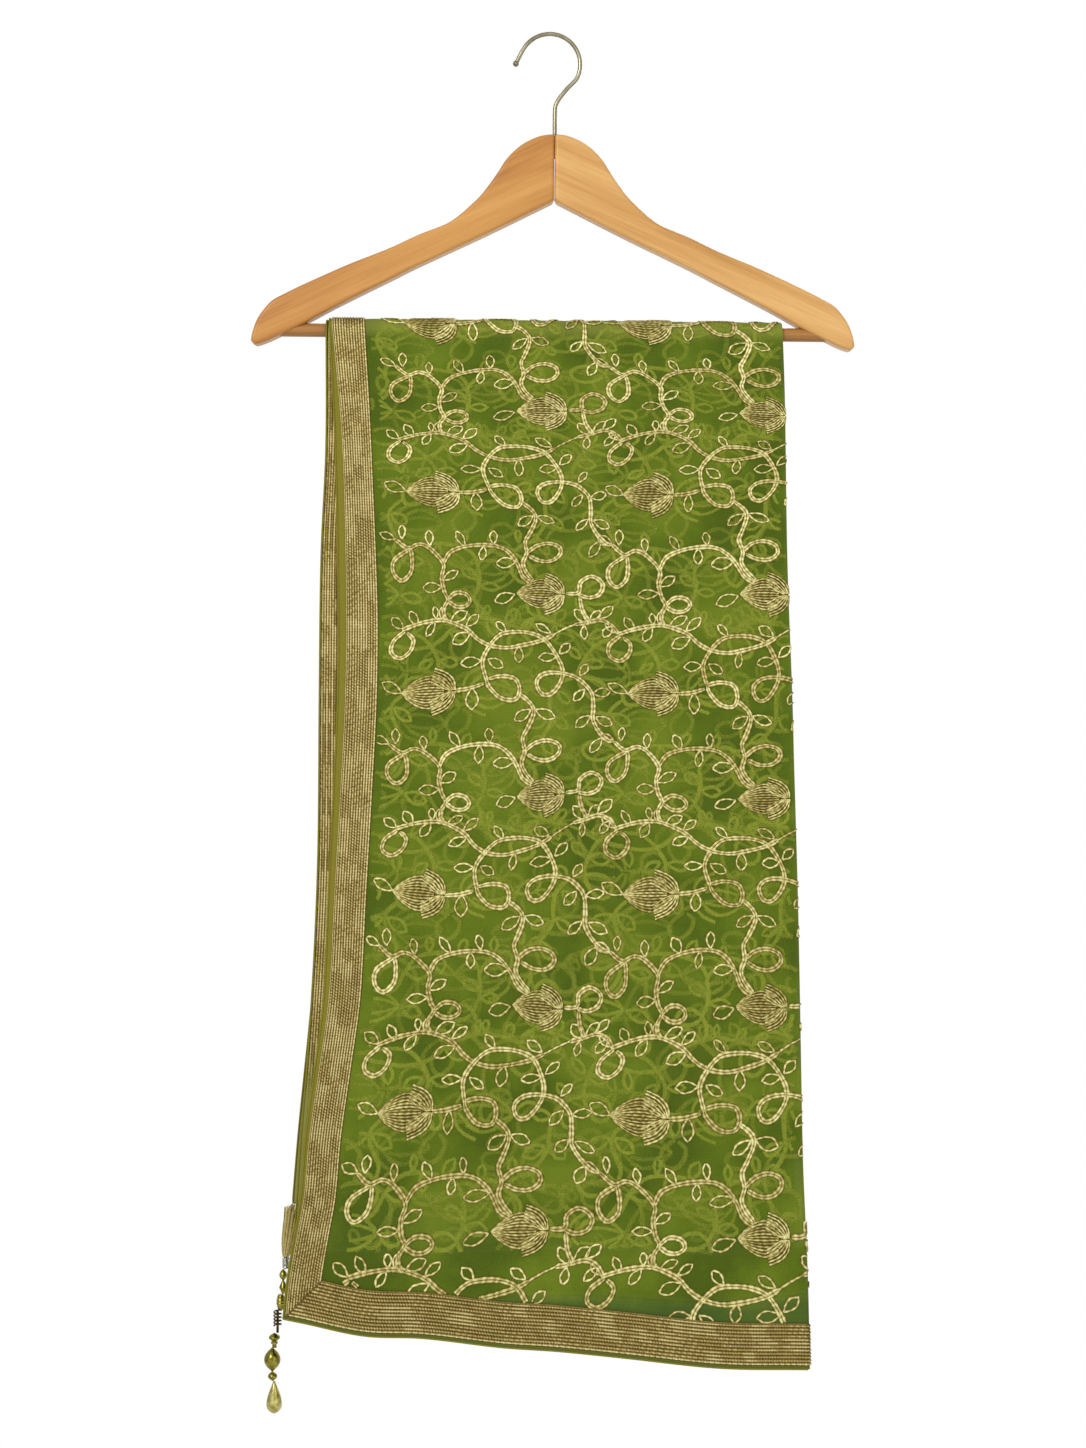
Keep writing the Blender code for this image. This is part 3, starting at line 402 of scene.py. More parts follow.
class Sheaf:
    """Grids of points gathered into one mesh, each point with a rise and a tone for its colour
    and a place (u, v) in millimetres along and across what it belongs to."""

    def __init__(self):
        self.points = []
        self.faces = []
        self.rise = []
        self.tone = []
        self.places = []
        self.count = 0

    def add(self, points, rise=1.0, tone=1.0, u=0.0, v=0.0, round_v=False, flip=False):
        rows, columns = points.shape[:2]
        shape = (rows, columns)
        self.points.append(points.reshape(-1, 3))
        self.rise.append(np.broadcast_to(rise, shape).reshape(-1))
        self.tone.append(np.broadcast_to(tone, shape).reshape(-1))
        place = np.stack((np.broadcast_to(u, shape), np.broadcast_to(v, shape)), axis=-1)
        self.places.append(place.reshape(-1, 2))
        i, j = np.meshgrid(np.arange(rows - 1),
                           np.arange(columns if round_v else columns - 1), indexing="ij")
        below = i + 1
        beside = (j + 1) % columns
        quads = np.stack((i * columns + j, i * columns + beside,
                          below * columns + beside, below * columns + j), axis=-1)
        quads = quads.reshape(-1, 4) + self.count
        self.faces.append(quads[:, ::-1] if flip else quads)
        self.count += rows * columns

    def piece(self, name, material):
        points = np.concatenate(self.points) * MM
        faces = np.concatenate(self.faces)
        mesh = bpy.data.meshes.new(name)
        mesh.from_pydata(points.tolist(), [], faces.tolist())
        for key, values in (("rise", self.rise), ("tone", self.tone)):
            layer = mesh.attributes.new(key, "FLOAT", "POINT")
            layer.data.foreach_set("value", np.concatenate(values).astype(np.float32))
        corners = np.empty(len(mesh.loops), dtype=np.int32)
        mesh.loops.foreach_get("vertex_index", corners)
        uv = mesh.uv_layers.new(name="cloth")
        places = (np.concatenate(self.places) * MM)[corners]
        uv.data.foreach_set("uv", places.reshape(-1).astype(np.float32))
        mesh.shade_smooth()
        mesh.materials.append(material)
        thing = bpy.data.objects.new(name, mesh)
        bpy.context.scene.collection.objects.link(thing)
        return thing


def smooth_path(points, spacing):
    """Evenly spaced points on a smooth curve through a few."""
    points = np.asarray(points, float)
    ring = np.concatenate((points[:1], points, points[-1:]))
    curve = []
    for a, b, c, d in zip(ring[:-3], ring[1:-2], ring[2:-1], ring[3:]):
        t = np.linspace(0.0, 1.0, 12, endpoint=False)[:, None]
        curve.append(0.5 * (2 * b + (c - a) * t + (2 * a - 5 * b + 4 * c - d) * t ** 2
                            + (3 * b - a - 3 * c + d) * t ** 3))
    curve.append(points[-1:])
    curve = np.concatenate(curve)
    lengths = np.concatenate(([0.0], np.cumsum(np.linalg.norm(np.diff(curve, axis=0), axis=1))))
    count = max(int(round(lengths[-1] / spacing)), 3)
    stops = np.linspace(0.0, lengths[-1], count + 1)
    return np.stack([np.interp(stops, lengths, curve[:, k]) for k in range(curve.shape[1])],
                    axis=-1)


def tube_points(path, radius, sides, reference):
    """Rings of points round a path in space."""
    path = np.asarray(path, float)
    tangent = np.gradient(path, axis=0)
    tangent /= np.linalg.norm(tangent, axis=1, keepdims=True)
    aside = np.cross(tangent, np.asarray(reference, float))
    aside /= np.linalg.norm(aside, axis=1, keepdims=True)
    up = np.cross(aside, tangent)
    turns = (np.arange(sides) * math.tau / sides)[None, :, None]
    radius = np.broadcast_to(radius, (len(path),))[:, None, None]
    ring = aside[:, None] * np.cos(turns) + up[:, None] * np.sin(turns)
    return path[:, None] + ring * radius


# Materials

def new_material(name, roughness, metallic=0.0, **uniform):
    material = bpy.data.materials.new(name)
    material.use_nodes = True
    shader = material.node_tree.nodes["Principled BSDF"]
    shader.inputs["Roughness"].default_value = roughness
    shader.inputs["Metallic"].default_value = metallic
    for socket, value in uniform.items():
        shader.inputs[socket.replace("_", " ")].default_value = value
    return material


def add_node(material, kind, inputs=None, **settings):
    node = material.node_tree.nodes.new(kind)
    for key, value in settings.items():
        setattr(node, key, value)
    for socket, value in (inputs or {}).items():
        if isinstance(value, bpy.types.NodeSocket):
            material.node_tree.links.new(value, node.inputs[socket])
        else:
            node.inputs[socket].default_value = value
    return node


def to_shader(material, socket, value):
    shader = material.node_tree.nodes["Principled BSDF"]
    material.node_tree.links.new(value, shader.inputs[socket])


def linear(code):
    """Linear colour from a six-figure screen colour."""
    channels = [int(code[i:i + 2], 16) / 255.0 for i in (0, 2, 4)]
    lit = [c / 12.92 if c <= 0.04045 else ((c + 0.055) / 1.055) ** 2.4 for c in channels]
    return (*lit, 1.0)


def add_ramp(material, value, stops):
    ramp = add_node(material, "ShaderNodeValToRGB", {"Fac": value})
    elements = ramp.color_ramp.elements
    while len(elements) < len(stops):
        elements.new(0.5)
    for element, (place, code) in zip(elements, stops):
        element.position = place
        element.color = linear(code)
    return ramp.outputs["Color"]


def add_mix(material, share, low, high):
    mix = add_node(material, "ShaderNodeMix", {"Factor": share}, data_type="RGBA")
    for socket, value in ((mix.inputs[6], low), (mix.inputs[7], high)):
        if isinstance(value, bpy.types.NodeSocket):
            material.node_tree.links.new(value, socket)
        else:
            socket.default_value = value
    return mix.outputs[2]


def add_math(material, operation, first, second=0.0, clamp=False):
    node = add_node(material, "ShaderNodeMath", {0: first, 1: second}, operation=operation)
    node.use_clamp = clamp
    return node.outputs[0]


def add_parts(material, parts):
    """Sum of a few values, each times its share."""
    total = None
    for value, share in parts:
        part = add_math(material, "MULTIPLY", value, share)
        total = part if total is None else add_math(material, "ADD", total, part)
    return total


def add_noise(material, place, scale, detail=2.0, roughness=0.5):
    return add_node(material, "ShaderNodeTexNoise", {
        "Vector": place, "Scale": scale, "Detail": detail, "Roughness": roughness}).outputs["Fac"]


def add_bump(material, height, strength, distance_mm):
    bump = add_node(material, "ShaderNodeBump", {
        "Height": height, "Strength": strength, "Distance": distance_mm * MM})
    to_shader(material, "Normal", bump.outputs["Normal"])


def place_node(material, output):
    return add_node(material, "ShaderNodeTexCoord").outputs[output]


def attribute_node(material, name):
    return add_node(material, "ShaderNodeAttribute", attribute_name=name).outputs["Fac"]


def net_material(name, cover, is_inner=False):
    """Soft green net: fine hexagonal mesh, mottled, yellower along its edgings and paler over
    the back of a ribbon."""
    material = new_material(name, 0.7, Alpha=cover, Sheen_Weight=0.12, Sheen_Roughness=0.5,
                            Sheen_Tint=(0.62, 0.75, 0.2, 1.0), Specular_IOR_Level=0.08)
    uv = place_node(material, "UV")
    solid = place_node(material, "Object")
    cells = add_node(material, "ShaderNodeTexVoronoi", {
        "Vector": uv, "Scale": 780.0, "Randomness": 0.2}, feature="DISTANCE_TO_EDGE")
    threads = add_math(material, "SUBTRACT", 1.0,
                       add_math(material, "MULTIPLY", cells.outputs["Distance"], 3.2, clamp=True))
    blotch = add_noise(material, solid, 17.0, 2.0, 0.5)
    swirl = add_noise(material, solid, 70.0, 3.0, 0.6)
    fine = add_noise(material, uv, 420.0, 2.0, 0.6)
    shade = add_parts(material, ((blotch, 0.72), (swirl, 0.18), (fine, 0.1)))
    colour = add_ramp(material, shade, [(0.38, "40540A"), (0.5, "53670F"), (0.62, "66771A")])
    colour = add_mix(material, add_math(material, "MULTIPLY", threads, 0.2), colour,
                     linear("8A9838"))
    colour = add_mix(material, attribute_node(material, "rise"), colour, linear("8A7E2C"))
    # depth: darker green below the inner layer's hem, and a painted shadow line just below the
    # rod.
    colour = add_mix(material, attribute_node(material, "depth"), colour, linear("3A5612"))
    # pale: the back of a ribbon, and on the crest partly the rod showing through, partly a painted
    # highlight.
    colour = add_mix(material, attribute_node(material, "pale"), colour, linear("A6A252"))
    to_shader(material, "Base Color", colour)
    if is_inner:
        to_shader(material, "Alpha", attribute_node(material, "cover"))
    add_bump(material, threads, 0.35, 0.35)
    return material


def gota_material(name, low, middle, high, glint_band_scale, glint_band_share=0.2):
    """Metallic thread: painted shade between the cords, a painted highlight along their tops,
    and painted glints in short lengths that take the light by turns."""
    material = new_material(name, 0.46, 0.45, Specular_IOR_Level=0.25)
    uv = place_node(material, "UV")
    solid = place_node(material, "Object")
    rise = attribute_node(material, "rise")
    tone = attribute_node(material, "tone")
    grain = add_noise(material, solid, 900.0, 2.0, 0.65)
    patch = add_noise(material, solid, 130.0, 2.0, 0.6)
    segments = add_node(material, "ShaderNodeTexWave", {
        "Vector": uv, "Scale": glint_band_scale, "Distortion": 5.0, "Detail": 2.0,
        "Detail Scale": 2.5}, wave_type="BANDS", bands_direction="X").outputs["Fac"]
    # The cords' height (rise) sets the colour: painted shade where low, painted highlight where
    # high; the wave bands are painted glints.
    value = add_parts(material, ((rise, 0.7 - glint_band_share), (grain, 0.26), (patch, 0.22),
                                 (segments, glint_band_share)))
    value = add_math(material, "MULTIPLY", value, tone)
    colour = add_ramp(material, value, [(0.36, low), (0.66, middle), (0.94, high)])
    to_shader(material, "Base Color", colour)
    add_bump(material, add_math(material, "ADD", grain, segments), 0.4, 0.25)
    return material


def ghost_material():
    """The inner layer's stitching as it shows through the outer net: soft yellow-green bands."""
    material = new_material("stitching_below", 0.8, Specular_IOR_Level=0.1)
    solid = place_node(material, "Object")
    grain = add_noise(material, solid, 300.0, 2.0, 0.6)
    patch = add_noise(material, solid, 24.0, 2.0, 0.5)
    colour = add_ramp(material, grain, [(0.3, "8F9A30"), (0.7, "9FAA3E")])
    to_shader(material, "Base Color", colour)
    cover = add_math(material, "MULTIPLY", attribute_node(material, "rise"),
                     attribute_node(material, "tone"))
    cover = add_math(material, "MULTIPLY", cover,
                     add_math(material, "ADD", 0.85, add_math(material, "MULTIPLY", patch, 0.4)),
                     clamp=True)
    to_shader(material, "Alpha", cover)
    return material


def wood_material(name, lean, shades):
    """Honey-coloured wood with its grain down the arm; each piece's colour stops are lighter or
    darker as painted light and shade.
    """
    material = new_material(name, 0.42, Coat_Weight=0.25, Coat_Roughness=0.25,
                            Specular_IOR_Level=0.3)
    solid = place_node(material, "Object")
    turned = add_node(material, "ShaderNodeMapping", {
        "Vector": solid, "Rotation": (0.0, lean, 0.0), "Scale": (1.0, 1.0, 1.0)}).outputs["Vector"]
    stretched = add_node(material, "ShaderNodeMapping", {
        "Vector": turned, "Scale": (5.0, 30.0, 85.0)}).outputs["Vector"]
    fibres = add_node(material, "ShaderNodeMapping", {
        "Vector": turned, "Scale": (22.0, 150.0, 620.0)}).outputs["Vector"]
    bands = add_noise(material, stretched, 1.0, 3.0, 0.55)
    fine = add_noise(material, fibres, 1.0, 4.0, 0.7)
    value = add_parts(material, ((bands, 0.62), (fine, 0.38)))
    colour = add_ramp(material, value, list(zip((0.3, 0.46, 0.6, 0.76), shades)))
    to_shader(material, "Base Color", colour)
    rough = add_math(material, "ADD", add_math(material, "MULTIPLY", fine, 0.2), 0.28)
    to_shader(material, "Roughness", rough)
    add_bump(material, fine, 0.12, 0.2)
    return material


def metal_material(name, dark, light, roughness, scale=300.0, stretch=(1.0, 1.0, 1.0)):
    material = new_material(name, roughness, 1.0)
    solid = add_node(material, "ShaderNodeMapping", {
        "Vector": place_node(material, "Object"), "Scale": stretch}).outputs["Vector"]
    grain = add_noise(material, solid, scale, 3.0, 0.6)
    to_shader(material, "Base Color", add_ramp(material, grain, [(0.35, dark), (0.65, light)]))
    rough = add_math(material, "ADD", add_math(material, "MULTIPLY", grain, 0.2), roughness - 0.1)
    to_shader(material, "Roughness", rough)
    add_bump(material, grain, 0.1, 0.1)
    return material


def thread_material():
    material = new_material("tassel_thread", 0.75, Sheen_Weight=0.1,
                            Sheen_Tint=(0.8, 0.75, 0.4, 1.0))
    solid = place_node(material, "Object")
    tone = attribute_node(material, "tone")
    grain = add_noise(material, solid, 700.0, 2.0, 0.6)
    value = add_parts(material, ((tone, 0.6), (grain, 0.4)))
    colour = add_ramp(material, value, [(0.25, "80702E"), (0.55, "B6A25C"), (0.85, "D6C888")])
    to_shader(material, "Base Color", colour)
    return material


# Cloth

INNER_COVER = 0.85        # how much of what lies behind it the inner net hides
HEM_COVER = 0.36          # the same over the back of its hem ribbon
OPEN_NET_END = 540.0      # above this drop the inner net is open behind its side ribbon
CLOTH_WIDTH = 365.0       # for the weave's scale
INNER_END = 0.988         # the inner sheet stops just short of the fold
FOLD_COLUMNS = 9
TURN_ROWS = 7
FRONT_ROWS = 120
BACK_ROWS = 100
EDGE_ROLL_RADIUS = 0.75
HEM_ROLL_RADIUS = 0.7
ROLL_SIDES = 6


def layer_rows(hang, across, body_rows):
    """Drops from the crest to the hem for each column."""
    quarter = hang.radius * math.pi / 2.0
    hem = hang.hem_drop(across)
    turn = np.linspace(0.0, quarter, TURN_ROWS, endpoint=False)
    share = np.linspace(0.0, 1.0, body_rows)
    body_end = hem - HEM_EDGING - 0.4
    rows = [np.full_like(across, stop) for stop in turn]
    rows += [quarter + (body_end - quarter) * s for s in share]
    rows += [hem - HEM_EDGING, hem]
    return np.stack(rows)


def net_sheet(name, pair, material, columns):
    """Both hangs of one layer, one sheet over the rod."""
    across = np.linspace(0.0, 1.0, columns)
    if pair[0].is_outer:
        across = np.concatenate((across, np.linspace(1.0, 2.0, FOLD_COLUMNS)[1:]))
    else:
        across = across * INNER_END
    front = layer_rows(pair[0], across, FRONT_ROWS)
    back = layer_rows(pair[1], across, BACK_ROWS)
    along = np.concatenate((-back[::-1], front[1:]))
    grid = over_the_rod(pair, np.broadcast_to(across, along.shape), along, 0.0)
    edging = np.zeros(along.shape)
    edging[:3] = 1.0
    edging[-3:] = 1.0
    edging[2], edging[-3] = 0.0, 0.0
    if pair[0].is_outer:
        bent = np.clip(across - 1.0, 0.0, 1.0)
        edging = np.maximum(edging, np.sin(bent * math.pi)[None, :] * 0.6)
        bare = across < pair[0].ribbon_share(np.abs(along), 0.3)
        edging = np.maximum(edging, 0.85 * (bare & (along >= 0.0)))
    sheaf = Sheaf()
    width = across * CLOTH_WIDTH
    sheaf.add(grid, rise=edging, u=np.broadcast_to(width, along.shape), v=along)
    sheet = sheaf.piece(name, material)
    under_ribbon = np.where(along >= 0.0, across < pair[0].ribbon_share(np.abs(along), 1.0),
                            across < pair[1].ribbon_share(np.abs(along), 1.0))
    layers = {"pale": 0.85 * under_ribbon}
    if pair[0].is_outer:
        # Paler on the crest over the rod: partly the rod showing through the net, partly a painted
        # highlight.
        rod_and_crest_highlight = 0.3 * (1.0 - smooth_step((np.abs(along) - 15.0) / 6.0))
        layers["pale"] = np.maximum(layers["pale"] * (along < 0.0), rod_and_crest_highlight)
        # depth: darker green below the inner layer's hem.
        past = along - FRONT_INNER.hem_drop(across)
        # Painted shadow line just below the rod.
        rod_shadow = 0.22 * (smooth_step((along - 17.0) / 5.0) - smooth_step((along - 23.0) / 22.0))
        layers["depth"] = np.maximum(smooth_step(past / 9.0) * 0.72, rod_shadow)
    else:
        foot = smooth_step((along - OPEN_NET_END) / 60.0)
        hem = np.where(along >= 0.0, pair[0].hem_drop(across), pair[1].hem_drop(across))
        over_hem = np.abs(along) > hem - HEM_EDGING - HEM_RIBBON
        layers["cover"] = np.where(under_ribbon, 0.8 * foot,
                                   np.where(over_hem, HEM_COVER, INNER_COVER))
    for title, values in layers.items():
        layer = sheet.data.attributes.new(title, "FLOAT", "POINT")
        layer.data.foreach_set("value", np.broadcast_to(values, along.shape).reshape(-1))
    return sheet


def edge_roll(sheaf, pair, across):
    """Narrow rolled edge down the long side of a layer."""
    front = np.linspace(0.0, pair[0].hem_drop(across), 190)
    back = np.linspace(0.0, pair[1].hem_drop(across), 160)
    along = np.concatenate((-back[::-1], front[1:]))
    path = over_the_rod(pair, across, along, 0.0)
    sheaf.add(tube_points(path, EDGE_ROLL_RADIUS, ROLL_SIDES, (1.0, 0.0, 0.0)), rise=0.8,
              round_v=True, u=along[:, None], v=np.arange(ROLL_SIDES)[None, :] * 0.8)


def hem_roll(sheaf, hang):
    across = np.linspace(0.0, 1.0, 120)
    path = hang.points(across, hang.hem_drop(across), 0.0)
    sheaf.add(tube_points(path, HEM_ROLL_RADIUS, ROLL_SIDES, (0.0, 0.0, 1.0)), rise=0.9,
              round_v=True, u=across[:, None] * 360.0,
              v=np.arange(ROLL_SIDES)[None, :] * 0.8)


# Ribbons

RIBBON_CORDS = 12
RIBBON_SAMPLES = 2        # points to a cord
RIBBON_TUCK = -0.4        # height of a ribbon's two edges
DOT_PITCH = 2.2
LANES = [(0, 4), (4, 8), (8, 12)]
SIDE_BLOCKS = (0, 0, 1, 2)    # kinds to draw from: 0 plain lines, 1 dots, 2 dashes
HEM_BLOCKS = (0, 1, 1, 2)


def block_kinds(length, seed, choices):
    """Starts and kinds of the blocks along one lane of the ribbon: plain lines or dots."""
    dice = random.Random(seed)
    starts, kinds, at = [], [], 0.0
    while at < length + 30.0:
        starts.append(at)
        kinds.append(dice.choice(choices))
        at += dice.uniform(8.0, 17.0)
    return np.array(starts), np.array(kinds)


def ribbon_relief(length_mm, share, seed, total, choices):
    """Height and tone of the woven cords at each point of a ribbon; the height also serves as
    the rise that paints shade between the cords and a highlight on their tops.
    """
    cord = share * RIBBON_CORDS
    index = np.minimum(np.floor(cord + 1e-6).astype(int), RIBBON_CORDS - 1)
    within = cord - index
    crest = np.clip(np.sin(math.pi * np.clip(within, 0.0, 1.0)), 0.0, 1.0) ** 0.6
    kind = np.zeros(cord.shape, int)
    for lane, (low, high) in enumerate(LANES):
        starts, kinds = block_kinds(total, seed + 31 * lane, choices)
        inside = (index >= low) & (index < high)
        jitter = 2.5 * np.sin(index * 2.7 + seed)
        found = kinds[np.clip(np.searchsorted(starts, length_mm + jitter, "right") - 1, 0, None)]
        kind = np.where(inside, found, kind)
    beat = 0.5 + 0.5 * np.cos(math.tau * (length_mm / DOT_PITCH + 0.5 * (index % 2)))
    dash = 0.5 + 0.5 * np.cos(math.tau * (length_mm / (2.0 * DOT_PITCH) + 0.25 * (index % 4)))
    height = np.where(kind == 1, 0.5 + 0.5 * beat, np.where(kind == 2, 0.62 + 0.38 * dash,
                                                             0.9 + 0.1 * beat))
    height = height * crest
    tone = np.where(kind == 0, 1.02, 0.99)
    bright = (index == RIBBON_CORDS - 1)
    height = np.where(bright, crest * (0.75 + 0.35 * dash), height)
    tone = np.where(bright, 1.12, tone)
    edges = np.minimum(share, 1.0 - share) < 1e-6
    return np.where(edges, RIBBON_TUCK, height), tone


def ribbon_points(hang, across, drop, height):
    """Ribbons lie outside an outer layer and on the rod side of an inner one."""
    face = 1.0 if hang.is_outer else -1.0
    return hang.points(across, drop, face * (0.55 + 1.05 * height))


def ribbon_columns():
    return np.linspace(0.0, 1.0, RIBBON_CORDS * RIBBON_SAMPLES + 1)


def add_side_ribbon(sheaf, hang, spacing, seed):
    share = ribbon_columns()
    foot = np.array([hang.mitre(s)[1] for s in share]) - FIT_GAP
    drop = np.arange(0.0, foot.max() + spacing, spacing)[:, None]
    drop = np.minimum(drop, foot[None, :])
    share = np.broadcast_to(share, drop.shape)
    height, tone = ribbon_relief(drop, share, seed, 800.0, SIDE_BLOCKS)
    across = hang.ribbon_share(drop, share)
    # Rise is the cords' height: painted shade between them, painted highlight on their tops.
    sheaf.add(ribbon_points(hang, across, drop, height), rise=height, tone=tone,
              u=drop, v=share * SIDE_RIBBON, flip=hang.side > 0)


def add_hem_ribbon(sheaf, hang, spacing, seed):
    share = ribbon_columns()
    start = np.array([hang.mitre(s)[0] for s in share])
    width = hang.width(hang.hem_drop(0.5))
    end = 1.0 + (RIBBON_WRAP if hang.is_outer else 0.0)
    flat_count = int(width / spacing)
    across = np.linspace(start.min(), 1.0, flat_count)
    if end > 1.0:
        across = np.concatenate((across, np.linspace(1.0, end, 5)[1:]))
    across = np.maximum(across[:, None], start[None, :])
    share = np.broadcast_to(share, across.shape)
    length_mm = across * width
    height, tone = ribbon_relief(length_mm, 1.0 - share, seed, 420.0, HEM_BLOCKS)
    drop = hang.hem_drop(across) - HEM_EDGING - HEM_RIBBON * share
    # Rise is the cords' height: painted shade between them, painted highlight on their tops.
    sheaf.add(ribbon_points(hang, across, drop, height), rise=height, tone=tone * 0.98,
              u=length_mm, v=share * HEM_RIBBON, flip=hang.side < 0)


def add_cord_line(sheaf, hang, across, drop, lift, radius, tone, bead_pitch):
    """Thin couched cord along a line on the cloth."""
    face = 1.0 if hang.is_outer else -1.0
    path = hang.points(across, drop, face * lift)
    along = np.concatenate(([0.0], np.cumsum(np.linalg.norm(np.diff(path, axis=0), axis=1))))
    swell = 0.82 + 0.18 * np.cos(math.tau * along / bead_pitch)
    reference = (1.0, 0.0, 0.0) if abs(path[-1][0] - path[0][0]) < 60.0 else (0.0, 0.0, 1.0)
    sheaf.add(tube_points(path, radius * swell, 6, reference), rise=0.95, tone=tone,
              u=along[:, None], v=np.arange(6)[None, :] * 0.6, round_v=True)


def mitre_line(hang):
    share = np.linspace(0.0, 1.0, 40)
    pairs = [hang.mitre(s) for s in share]
    return np.array([p[0] for p in pairs]), np.array([p[1] for p in pairs])


def layer_ribbons(name, hang, material, spacing, seed):
    """Side ribbon, hem ribbon and the cords that bind them, one piece for each ribbon."""
    side = Sheaf()
    add_side_ribbon(side, hang, spacing, seed)
    foot = hang.mitre(0.0)[1]
    drop = np.arange(0.0, foot, spacing)
    add_cord_line(side, hang, hang.ribbon_share(drop, -0.01), drop, 0.55, 0.55, 0.86, 2.6)
    hem = Sheaf()
    add_hem_ribbon(hem, hang, spacing, seed + 7)
    across, drops = mitre_line(hang)
    add_cord_line(hem, hang, across, drops, 1.3, 0.7, 0.5, 2.4)
    across = np.linspace(hang.mitre(1.0)[0], 1.0, int(350.0 / spacing))
    top = hang.hem_drop(across) - HEM_EDGING - HEM_RIBBON
    add_cord_line(hem, hang, across, top, 0.8, 0.9, 0.56, 3.0)
    pieces = []
    for part, sheaf in (("side_ribbon", side), ("hem_ribbon", hem)):
        piece = sheaf.piece(name + "_" + part + "_gota", material)
        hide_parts(name + "_" + part)
        pieces.append(piece)
    return pieces


# Embroidery

# In these profiles the rise column paints the colour: painted shade at a cord's edges and low
# middle, a painted highlight on its tops.
BAND = [  # across the double cord: place, height, rise
    (-1.0, 0.0, 0.0), (-0.72, 0.8, 0.82), (-0.3, 0.85, 1.0), (0.0, 0.4, 0.22),
    (0.3, 0.85, 1.0), (0.72, 0.8, 0.82), (1.0, 0.0, 0.0),
]
CORD = [(-1.0, 0.0, 0.0), (-0.35, 0.75, 0.95), (0.35, 0.75, 0.95), (1.0, 0.0, 0.0)]
GHOST = [(-1.0, 0.0, 0.0), (-0.55, 0.0, 1.0), (0.55, 0.0, 1.0), (1.0, 0.0, 0.0)]
RIB = [(-1.0, 0.0, 0.0), (0.0, 0.8, 1.0), (1.0, 0.0, 0.0)]
BAND_HALF_WIDTH = 2.05
CORD_HALF_WIDTH = 0.92
RIB_HALF_WIDTH = 0.86
BUD_BASE = [(-1.0, 0.0, 0.0), (0.0, 0.12, 0.12), (1.0, 0.0, 0.0)]
BUD_WIDTHS = [(-19.0, 0.4), (-14.0, 5.0), (-7.0, 9.4), (0.0, 11.6), (4.0, 12.6), (8.0, 12.6),
              (12.0, 11.0), (16.0, 6.6), (19.0, 0.8)]
REPEAT_SAMPLES = eased_samples(REPEAT_DROPS)


def chart_to_cloth(x, y):
    """Share across the cloth and length along it of a place in the chart. Slow waves keep the
    hand-stitched repeats from being alike."""
    sway_x = 1.6 * np.sin(0.021 * x + 0.034 * y + 1.0) + 1.0 * np.sin(0.053 * y - 0.017 * x)
    sway_y = 1.6 * np.sin(0.027 * x - 0.019 * y + 2.0) + 0.9 * np.sin(0.047 * x + 0.029 * y)
    row = (y + sway_y) / CHART_PITCH_Y
    share = COLUMN_SHARE - COLUMN_LEAN * np.abs(row) + (x + sway_x) / CHART_WIDTH
    return share, np.interp(row, *REPEAT_SAMPLES)


